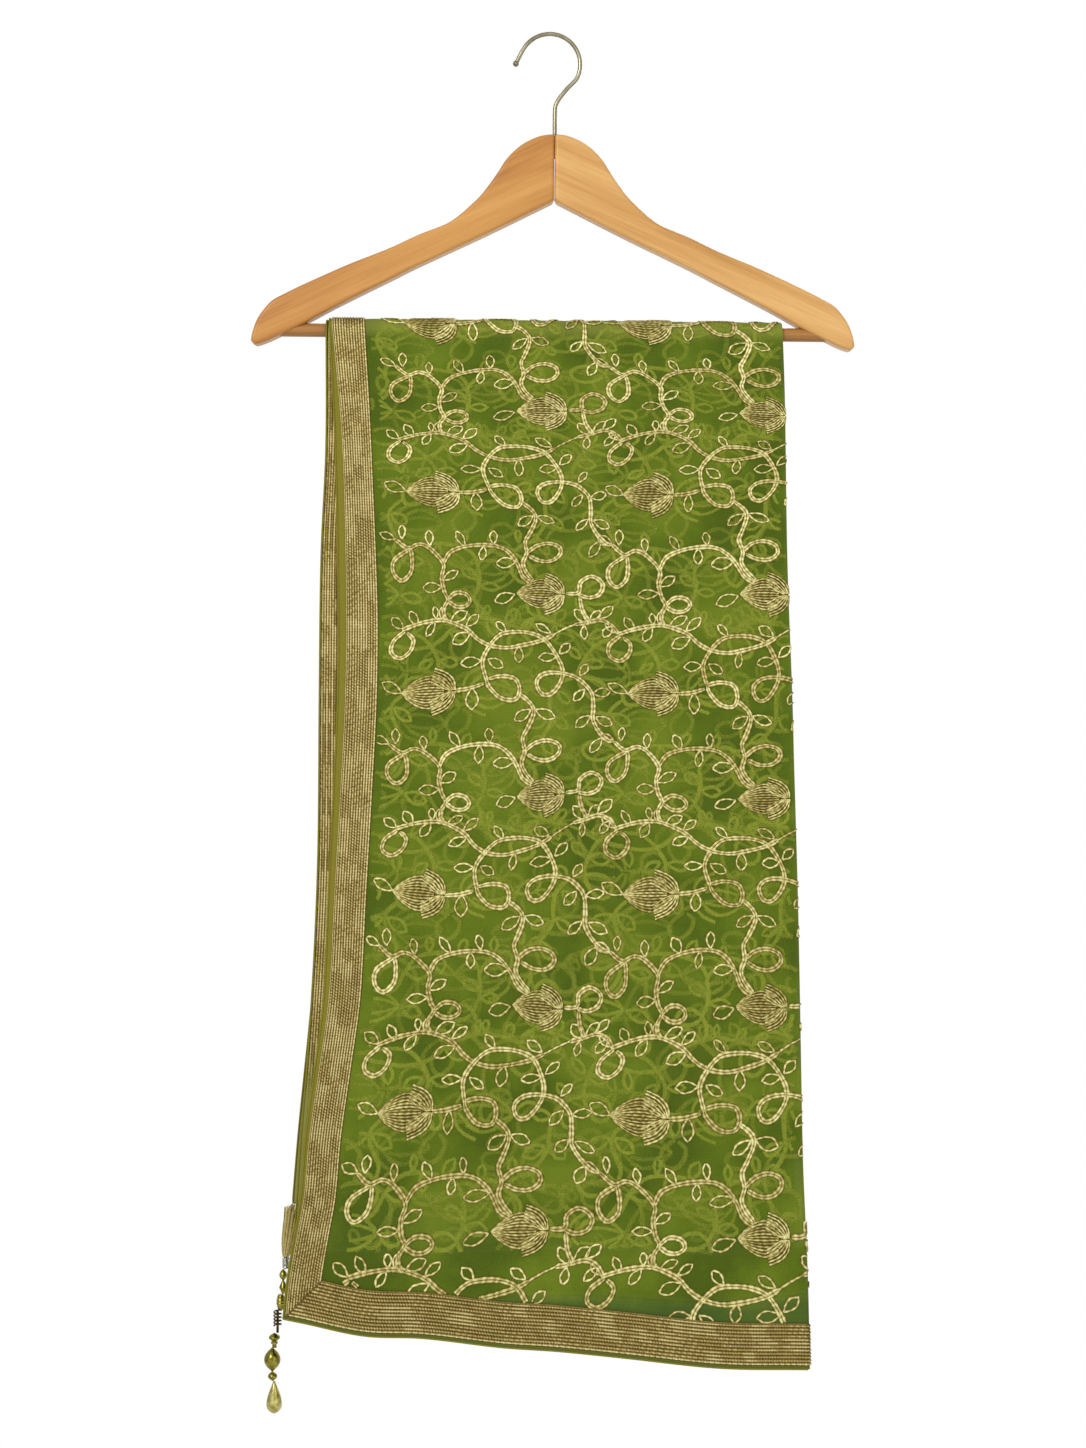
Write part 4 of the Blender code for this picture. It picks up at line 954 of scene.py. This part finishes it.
class Embroidery:
    """Stitching over one hang, gathered into one mesh. With `below`, it is the faint show of
    what is stitched on the inner layer: flat bands just above the outer net."""

    def __init__(self, side, below=None, mirrored=False, shift=(0.0, 0.0), strength=1.0):
        self.side = side
        self.hang = OUTER[0] if side < 0 else OUTER[1]
        self.below = below
        self.mirrored = mirrored
        self.shift = np.array(shift)
        self.strength = strength
        self.is_relief = below is None
        self.sheaf = Sheaf()

    def layer_across(self, share):
        """Place across the cloth, and whether the layer carries it at all."""
        if self.mirrored:
            return 2.0 - share, (share > 1.012) & (share < 1.9)
        bend_mm = math.pi * 1.1
        over = np.maximum(share - 1.0, 0.0) * CHART_WIDTH / bend_mm
        reach = 0.8 if self.is_relief else 0.0
        return np.minimum(share, 1.0) + np.minimum(over, 1.0), (share > 0.0) & (over <= reach)

    def keep(self, across, along, valid):
        drop = along * -self.side
        ribbon = self.hang.ribbon_share(np.maximum(drop, 0.0), 1.0)
        hang = self.below or self.hang
        limit = hang.hem_drop(across) - HEM_EDGING - HEM_RIBBON
        return valid & (across > ribbon + 0.002) & (drop > -1.5) & (drop < limit)

    def strip(self, path, half_width, profile, tone, lift=0.3, height=1.0):
        """Band of cord along a path in the chart."""
        tangent = np.gradient(path, axis=0)
        tangent /= np.maximum(np.linalg.norm(tangent, axis=1, keepdims=True), 1e-6)
        aside = np.stack((-tangent[:, 1], tangent[:, 0]), axis=-1)
        share, along = chart_to_cloth(path[:, 0], path[:, 1])
        across, valid = self.layer_across(share)
        kept = self.keep(across, along, valid)
        lengths = np.concatenate(([0.0], np.cumsum(np.linalg.norm(np.diff(path, axis=0), axis=1))))
        runs = np.flatnonzero(np.diff(np.concatenate(([0], kept.astype(int), [0]))))
        places = np.array([row[0] for row in profile])
        heights = np.array([row[1] for row in profile]) * height
        rises = np.array([row[2] for row in profile])
        for first, last in zip(runs[::2], runs[1::2]):
            if last - first < 3:
                continue
            centre = path[first:last, None]
            width = np.broadcast_to(half_width, len(path))[first:last, None]
            spots = centre + aside[first:last, None] * (places[None, :] * width)[..., None]
            share, along = chart_to_cloth(spots[..., 0], spots[..., 1])
            across, _ = self.layer_across(share)
            lifts = lift + np.broadcast_to(heights, across.shape)
            points = over_the_rod(OUTER, across, along, lifts)
            u = lengths[first:last, None] + 53.0 * math.sin(self.sheaf.count)
            # The profile's rise paints shade and highlight across the band.
            self.sheaf.add(points, rise=rises[None, :], tone=tone, u=u,
                           v=(places * BAND_HALF_WIDTH)[None, :],
                           flip=(self.side > 0) != self.mirrored)

    def cord(self, points, spacing, half_width, profile, tone, origin, lift=0.3, height=1.0,
             ends=0.0):
        """One band along a smooth curve through a few points; `ends` slims its two ends."""
        if not self.is_relief:
            spacing, profile, half_width = spacing * 1.6, GHOST, max(half_width * 0.95, 1.5)
            tone, lift = tone * self.strength, 0.2 + 0.1 * abs(math.sin(self.sheaf.count))
        path = smooth_path(points, spacing) + origin
        steps = np.arange(len(path))
        slim = np.clip(np.minimum(steps + 1.5, len(path) - steps + 0.5) / 2.5, 1.0 - ends, 1.0)
        self.strip(path, half_width * slim * (1.0 + 0.1 * np.sin(steps * 0.55 + tone * 40.0)),
                   profile, tone, lift, height)

    def leaflet(self, row, origin, dice):
        """Open loop of one cord, pointed where it leaves the stem."""
        base, tip = np.array(row[:2], float), np.array(row[2:], float)
        run = (tip - base) * dice.uniform(0.98, 1.18)
        side = np.array((-run[1], run[0])) * dice.uniform(0.2, 0.27)
        ring = [base, base + run * 0.32 + side * 0.8, base + run * 0.66 + side, base + run * 0.93
                + side * 0.3, base + run, base + run * 0.93 - side * 0.3,
                base + run * 0.66 - side, base + run * 0.32 - side * 0.8, base]
        self.cord(ring, 1.9, CORD_HALF_WIDTH, CORD, dice.uniform(0.92, 1.1), origin, height=0.85)

    def bud(self, centre, scale, origin, dice):
        """Half-open bud: a dark base, ribs from its tip round a slit, and two ribbed lobes that
        turn back from its cup."""
        half = BUD_LENGTH / 2.0
        centre = np.array(centre)
        if self.is_relief:
            base = smooth_path([(-half + 0.5, 0), (0, 0), (half - 0.5, 0)], 2.2)
            width = np.interp(base[:, 0], [row[0] for row in BUD_WIDTHS],
                              [row[1] for row in BUD_WIDTHS])
            self.strip(base * scale + centre + origin, width * scale, BUD_BASE, 0.9, lift=0.24)
        for step in range(12) if self.is_relief else (0, 3, 8, 11):
            bulge = (step - 5.5) * 2.05
            ribs = [(-half, 0), (-13, bulge * 0.55), (-4, bulge), (4, bulge * 1.04),
                    (11, bulge * 0.72)]
            self.cord(np.array(ribs) * scale + centre, 2.0, RIB_HALF_WIDTH * scale, RIB,
                      0.97 * dice.uniform(0.86, 1.1), origin, 0.42, 0.7)
        for side in (-1.0, 1.0):
            for step in range(6) if self.is_relief else (0, 3):
                inset = 2.0 * step
                ribs = [(half - 0.35 * inset, side * 0.5),
                        (17.8 - 0.85 * inset, side * (7.8 - 0.5 * inset)),
                        (12.5 - 0.72 * inset, side * (13.6 - 0.8 * inset)),
                        (3.5 - 0.2 * inset, side * (17.4 - 1.0 * inset))]
                self.cord(np.array(ribs) * scale + centre, 2.0, RIB_HALF_WIDTH * scale, RIB,
                          1.04 * dice.uniform(0.88, 1.1), origin, 0.75, 0.8)

    def stitch(self, columns, rows, seed):
        for row in rows:
            for column in columns:
                dice = random.Random(seed + 97 * row + 13 * column)
                origin = np.array((column * CHART_PITCH_X, row * CHART_PITCH_Y)) + self.shift
                for points in STEMS:
                    self.cord(points, 2.2, BAND_HALF_WIDTH, BAND, dice.uniform(0.9, 1.06), origin,
                              ends=0.45)
                for points in THIN_STEMS:
                    self.cord(points, 2.2, CORD_HALF_WIDTH, CORD, dice.uniform(0.9, 1.06), origin)
                for leaf in LEAFLETS if self.strength > 0.5 else LEAFLETS[::3]:
                    self.leaflet(leaf, origin, dice)
                self.bud((0.0, 0.0), BUD_SCALES["large"], origin, dice)
                self.bud(LOWER_BUD, BUD_SCALES["small"], origin, dice)
        return self.sheaf


# Hanger

def hanger_points(points):
    """The hanger's own upright points, tilted about the hook's seat."""
    points = np.asarray(points, float)
    x = points[..., 0] * math.cos(TILT) + points[..., 2] * math.sin(TILT)
    z = points[..., 2] * math.cos(TILT) - points[..., 0] * math.sin(TILT)
    return np.stack((x, points[..., 1], z), axis=-1)


def make_arm(name, node, side, material):
    """Half of the yoke: a smooth outline given its thickness and rounded edges."""
    line = np.concatenate((smooth_path(ARM_OUTLINE[:ARM_TIP + 1], ARM_SPACING),
                           smooth_path(ARM_OUTLINE[ARM_TIP:], ARM_SPACING)[1:]))
    line[:, 0] = np.maximum(line[:, 0], FIT_GAP / 2.0)
    points = np.stack((CENTRE_X + side * line[:, 0], np.zeros(len(line)), line[:, 1]), axis=-1)
    points = hanger_points(points) * MM
    mesh = bpy.data.meshes.new(name)
    mesh.from_pydata(points.tolist(), [], [tuple(range(len(points)))])
    mesh.materials.append(material)
    arm = bpy.data.objects.new(name, mesh)
    bpy.context.scene.collection.objects.link(arm)
    board = arm.modifiers.new("board", "SOLIDIFY")
    board.thickness = WOOD_THICKNESS * MM
    board.offset = 0.0
    rounding = arm.modifiers.new("rounded_edges", "BEVEL")
    rounding.width = WOOD_EDGE * MM
    rounding.segments = 5
    rounding.limit_method = "ANGLE"
    rounding.angle_limit = math.radians(40.0)
    rounding.harden_normals = True
    arm.data.shade_smooth()
    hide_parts(node)
    return arm


def make_hook(material):
    centre_x, centre_z = HOOK_ARC_CENTRE
    start, end = math.radians(HOOK_ARC_START), math.radians(HOOK_ARC_END)
    run = np.array(HOOK_LIP_RUN)
    run_unit = run / np.linalg.norm(run)
    tip = np.array((centre_x + HOOK_ARC_RADIUS * math.cos(start) - run[0],
                    centre_z + HOOK_ARC_RADIUS * math.sin(start) - run[1]))
    arc = [(centre_x + HOOK_ARC_RADIUS * math.cos(angle),
            centre_z + HOOK_ARC_RADIUS * math.sin(angle))
           for angle in np.linspace(start, end, 10)]
    shank = [(CENTRE_X, WOOD_TOP_Z), (CENTRE_X, WOOD_TOP_Z - SHANK_DEPTH)]
    line = smooth_path([tuple(tip + run_unit * 0.6)] + arc + HOOK_NECK + shank, 1.0)
    path = hanger_points(np.stack((line[:, 0], np.zeros(len(line)), line[:, 1]), axis=-1))
    sheaf = Sheaf()
    sheaf.add(tube_points(path, HOOK_WIRE_RADIUS, HOOK_SIDES, (0.0, 1.0, 0.0)), round_v=True)
    turns = np.linspace(0.02, math.pi - 0.02, 15)
    axis = np.stack((tip[0] - run_unit[0] * HOOK_BALL_RADIUS * np.cos(turns), np.zeros(15),
                     tip[1] - run_unit[1] * HOOK_BALL_RADIUS * np.cos(turns)), axis=-1)
    sheaf.add(tube_points(hanger_points(axis), HOOK_BALL_RADIUS * np.sin(turns), HOOK_SIDES,
                          (0.0, 1.0, 0.0)), round_v=True)
    hook = sheaf.piece("hook_wire", material)
    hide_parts("hanger_hook")
    return hook


def make_ferrule(material):
    """Small plate under the hook, where its shank enters the wood."""
    profile = np.array(FERRULE_PROFILE)
    turns = np.linspace(0.0, math.tau, FERRULE_SIDES, endpoint=False)
    ring = np.stack((CENTRE_X + profile[:, None, 0] * np.cos(turns)[None, :],
                     profile[:, None, 0] * np.sin(turns)[None, :],
                     WOOD_TOP_Z + profile[:, None, 1] + 0.0 * turns), axis=-1)
    sheaf = Sheaf()
    sheaf.add(hanger_points(ring), round_v=True)
    return sheaf.piece("hook_ferrule", material)


# Tassel

def turned_size(shape, share):
    """Radius of a turned bead at `share` of its height, as a share of its greatest radius."""
    dome = math.sin(math.pi * min(max(share, 0.0), 1.0))
    if shape == "ball_and_bicone":
        if share < TOP_BALL_SHARE:
            return 0.95 * math.sin(math.pi * min(share / TOP_BALL_SHARE, 0.94)) ** 0.8
        place = (share - TOP_BALL_SHARE) / (1.0 - TOP_BALL_SHARE)
        return 0.25 + 0.75 * (1.0 - abs(2.0 * place - 1.0)) ** 0.85
    if shape == "ribbed":
        body = 0.6 + 0.4 * dome
        return body * (0.86 + 0.14 * abs(math.sin(share * math.pi * 4.0)) ** 0.5)
    if shape == "necked":
        if share < 0.6:
            return math.sin(math.pi * min(share / 0.6, 0.9)) ** 0.8
        if share < 0.72:
            return 0.62
        return 0.4
    if shape == "oval":
        return dome ** 0.75
    if shape == "drop":
        return float(np.interp(share, *eased_samples(DROP_ROWS)))
    return dome ** 0.8


def lathe(sheaf, centre, radii, heights, sides):
    turns = np.linspace(0.0, math.tau, sides, endpoint=False)
    radii, heights = np.asarray(radii)[:, None], np.asarray(heights)[:, None]
    ring = np.stack((centre[0] + radii * np.cos(turns), centre[1] + radii * np.sin(turns),
                     centre[2] + heights + 0.0 * turns), axis=-1)
    sheaf.add(ring, round_v=True)


def helix(centre, radius, height, turns):
    angle = np.linspace(0.0, math.tau * turns, int(22 * turns))
    return np.stack((centre[0] + radius * np.cos(angle), centre[1] + radius * np.sin(angle),
                     centre[2] + height / 2.0 - height * angle / angle[-1]), axis=-1)


def make_beads(metals):
    """String of beads under the knot."""
    top = KNOT_TOP_Z
    sway = eased_samples(TASSEL_SWAY)
    pieces = []
    for bead in BEADS:
        middle = top - bead.height / 2.0
        centre = (float(np.interp(middle, *sway)), TASSEL_Y, middle)
        radius = bead.diameter / 2.0
        sheaf = Sheaf()
        if bead.shape in WINDINGS:
            wire, turns, reach_share, core_share = WINDINGS[bead.shape]
            reach = bead.height * reach_share
            lift = (bead.height - reach) / 2.0 if bead.shape == "coil" else 0.0
            wound = (centre[0], centre[1], centre[2] + lift)
            path = helix(wound, radius - wire, reach - wire, turns)
            sheaf.add(tube_points(path, wire, 8, (0.0, 0.0, 1.0)), round_v=True)
            core, half = radius * core_share, bead.height / 2.0
            lathe(sheaf, centre, [BEAD_POLE, core, core, BEAD_POLE],
                  [half, half, -half, -half], 16)
        else:
            share = np.linspace(0.0, 1.0, 61)
            size = np.array([max(turned_size(bead.shape, s), 0.16) for s in share]) * radius
            heights = bead.height * (0.5 - share)
            radii = np.concatenate(([BEAD_POLE], size, [BEAD_POLE]))
            heights = np.concatenate((heights[:1], heights, heights[-1:]))
            lathe(sheaf, centre, radii, heights, 32)
        piece = sheaf.piece(bead.node + "_turned", metals[bead.shape])
        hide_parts(bead.node)
        pieces.append(piece)
        top -= bead.height + FIT_GAP
    return pieces


def make_tuft(material):
    """Threads bound at the knot and fanned up to the cloth's corner."""
    dice = random.Random(5)
    sway = eased_samples(TASSEL_SWAY)
    foot = np.array((float(np.interp(KNOT_TOP_Z, *sway)), TASSEL_Y, KNOT_TOP_Z + FIT_GAP))
    corner = BACK_OUTER.points(0.0, BACK_OUTER.hem_drop(0.0), 0.0)
    top = corner + np.array(TUFT_TOP_OFFSET)
    sheaf = Sheaf()
    for _ in range(TUFT_STRANDS):
        angle = dice.uniform(0.0, math.tau)
        spread = math.sqrt(dice.uniform(0.0, 1.0))
        unit = np.array((math.cos(angle), math.sin(angle)))
        reach = dice.uniform(0.86, 1.0)
        bow = dice.uniform(-0.7, 0.7)
        path = []
        for share in np.linspace(0.0, 1.0, STRAND_STEPS):
            at = foot + (top - foot) * share * reach
            fan = share ** 0.75
            width = TUFT_HEAD_RADIUS + (np.array(TUFT_TOP_RADII) - TUFT_HEAD_RADIUS) * fan
            offset = unit * spread * width
            wobble = bow * math.sin(math.pi * share * 1.4)
            path.append((at[0] + offset[0] + wobble, at[1] + offset[1] * 0.8 - wobble * 0.4,
                         at[2]))
        radius = np.linspace(*STRAND_RADII, STRAND_STEPS)
        sheaf.add(tube_points(path, radius, 5, (0.0, 1.0, 0.0)), tone=dice.uniform(0.2, 1.0),
                  round_v=True)
    tuft = sheaf.piece("tassel_tuft_threads", material)
    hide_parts("tassel_tuft")
    return tuft


# Stage, in metres, and the view in millimetres

FLOOR_SIZE = 2.4
FLOOR_Z = -1.5
LIGHT_AIM = (0.0, 0.0, -0.5)
LIGHTS = [  # name, place, size, power
    ("key", (-1.3, -2.2, 0.9), 1.0, 26.0), ("fill", (1.6, -1.8, -0.2), 1.6, 5.0),
    ("back", (0.5, 2.2, 0.7), 1.4, 16.0),
]
CAMERA_DISTANCE = 1600.0
VIEW_HEIGHT = 1077.0
VIEW_CENTRE = (-5.2, -6.0, -513.5)


def make_stage():
    bpy.ops.mesh.primitive_plane_add(size=FLOOR_SIZE, location=(0.0, 0.0, FLOOR_Z))
    floor = bpy.context.object
    floor.name = "floor"
    material = new_material("pale_floor", 0.9)
    material.node_tree.nodes["Principled BSDF"].inputs["Base Color"].default_value = (
        0.86, 0.86, 0.85, 1.0)
    floor.data.materials.append(material)
    world = bpy.data.worlds.new("studio")
    bpy.context.scene.world = world
    world.use_nodes = True
    sky = world.node_tree.nodes["Background"]
    direction = add_node(world, "ShaderNodeTexCoord").outputs["Generated"]
    split = add_node(world, "ShaderNodeSeparateXYZ", {"Vector": direction})
    ahead = add_math(world, "ABSOLUTE", split.outputs["Y"])
    glow = add_ramp(world, ahead, [(0.0, "C4C4C4"), (0.55, "CBCBCB"), (0.9, "FFFFFF")])
    world.node_tree.links.new(glow, sky.inputs["Color"])
    for name, place, size, power in LIGHTS:
        data = bpy.data.lights.new(name, "AREA")
        data.size = size
        data.energy = power
        lamp = bpy.data.objects.new(name, data)
        lamp.location = place
        aim = Vector(LIGHT_AIM) - Vector(place)
        lamp.rotation_euler = aim.to_track_quat("-Z", "Y").to_euler()
        bpy.context.scene.collection.objects.link(lamp)


def make_camera():
    data = bpy.data.cameras.new("camera")
    data.sensor_fit = "VERTICAL"
    data.sensor_height = 36.0
    data.lens = data.sensor_height * CAMERA_DISTANCE / VIEW_HEIGHT
    data.clip_end = 20.0
    camera = bpy.data.objects.new("camera", data)
    centre_x, centre_y, centre_z = VIEW_CENTRE
    camera.location = (centre_x * MM, (centre_y - CAMERA_DISTANCE) * MM, centre_z * MM)
    camera.rotation_euler = (math.pi / 2.0, 0.0, 0.0)
    bpy.context.scene.collection.objects.link(camera)
    bpy.context.scene.camera = camera


def build():
    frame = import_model()
    nodes = frame["nodes"]
    make_camera()
    make_stage()
    bpy.context.scene.view_settings.view_transform = "Standard"

    net = net_material("green_net", 0.99)
    sheer = net_material("green_net_inner", 1.0, True)
    rolled = net_material("rolled_net", 1.0)
    gota = gota_material("gota_gold", "54400F", "AA9652", "F4E8B0", 150.0, 0.1)
    vine = gota_material("vine_gold", "50440E", "A4944C", "EEE8A6", 66.0)
    ghost = ghost_material()
    # Lit and shaded copies of one wood: the left arm painted darker as painted shade, the right
    # arm painted lighter as painted light.
    wood_left_shaded = wood_material("wood_left_shaded", math.radians(25.0),
                              ("A66A2A", "BF823A", "CC9248", "D8A158"))
    wood_right_lit = wood_material("wood_right_lit", math.radians(-25.0),
                               ("B88240", "D09A54", "DEAC66", "EABE7A"))
    # The rod's wood is painted darker still, as painted shade.
    wood_rod_shaded = wood_material("wood_rod_shaded", 0.0, ("7A4E1E", "9A682E", "B27E3E", "C49150"))
    wire = metal_material("hook_nickel", "7D755E", "B0A88A", 0.24, 60.0, (1.0, 1.0, 0.2))
    silver = metal_material("silver_wire", "A9A89C", "E6E4DA", 0.25)
    olive = metal_material("olive_glass", "6B6420", "A9A04A", 0.2, 200.0)
    brass = metal_material("dark_brass", "2E2410", "6E5A2A", 0.35)
    pale = metal_material("pale_gold", "9C9244", "DDD48E", 0.16, 200.0)

    pieces = []
    net_outer = net_sheet("net_outer", OUTER, net, 70)
    net_inner = net_sheet("net_inner", INNER, sheer, 60)
    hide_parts("front_outer", "back_outer", "cloth_over_rod")
    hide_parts("front_inner", "back_inner")
    rolls = Sheaf()
    edge_roll(rolls, OUTER, 0.0)
    edge_roll(rolls, INNER, 0.0)
    for hang in OUTER + INNER:
        hem_roll(rolls, hang)
    roll_piece = rolls.piece("rolled_edges", rolled)
    pieces += [net_outer, net_inner, roll_piece]

    trims = {True: [], False: []}
    for name, hang, spacing, seed in (
            ("front_outer", FRONT_OUTER, 1.1, 3), ("back_outer", BACK_OUTER, 1.1, 8),
            ("front_inner", FRONT_INNER, 2.2, 15), ("back_inner", BACK_INNER, 2.2, 21)):
        trims[hang.is_outer] += layer_ribbons(name, hang, gota, spacing, seed)

    for name, side, rows, below in (("front", -1, range(-1, 6), FRONT_INNER),
                                    ("back", 1, range(-6, 1), BACK_INNER)):
        work = Embroidery(side).stitch(range(0, 2), rows, 11)
        piece = work.piece(name + "_vines", vine)
        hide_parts(name + "_vine_left", name + "_vine_right")
        trims[True].append(piece)
        work = Embroidery(side, below, True, strength=0.56).stitch(range(1, 4), rows, 11)
        trims[False].append(work.piece(name + "_inner_vines", ghost))
        work = Embroidery(side, below, shift=(44.0, 57.0), strength=0.38)
        work.stitch(range(-1, 2), rows, 31)
        work.mirrored, work.shift, work.strength = True, np.array((-31.0, 96.0)), 0.28
        work.stitch(range(1, 4), rows, 47)
        trims[False].append(work.sheaf.piece(name + "_far_vines", ghost))
    pieces += trims[True] + trims[False]

    for name, node, side, material in (("arm_left", "hanger_arm_left", -1, wood_left_shaded),
                                       ("arm_right", "hanger_arm_right", 1, wood_right_lit)):
        arm = make_arm(name, node, side, material)
        pieces.append(arm)
    for slot in nodes["hanger_rod"].material_slots:
        slot.material = wood_rod_shaded
    for piece in (make_hook(wire), make_ferrule(wire)):
        pieces.append(piece)

    metals = {"knot": silver, "round": olive, "ball_and_bicone": olive, "ribbed": olive,
              "coil": brass, "necked": olive, "oval": olive, "drop": pale}
    for bead, piece in zip(BEADS, make_beads(metals)):
        pieces.append(piece)
    tuft = make_tuft(thread_material())
    pieces.append(tuft)

    for piece in pieces:
        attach(piece, BODY)
    for piece in pieces:
        print("faces", piece.name, len(piece.data.polygons))


build()
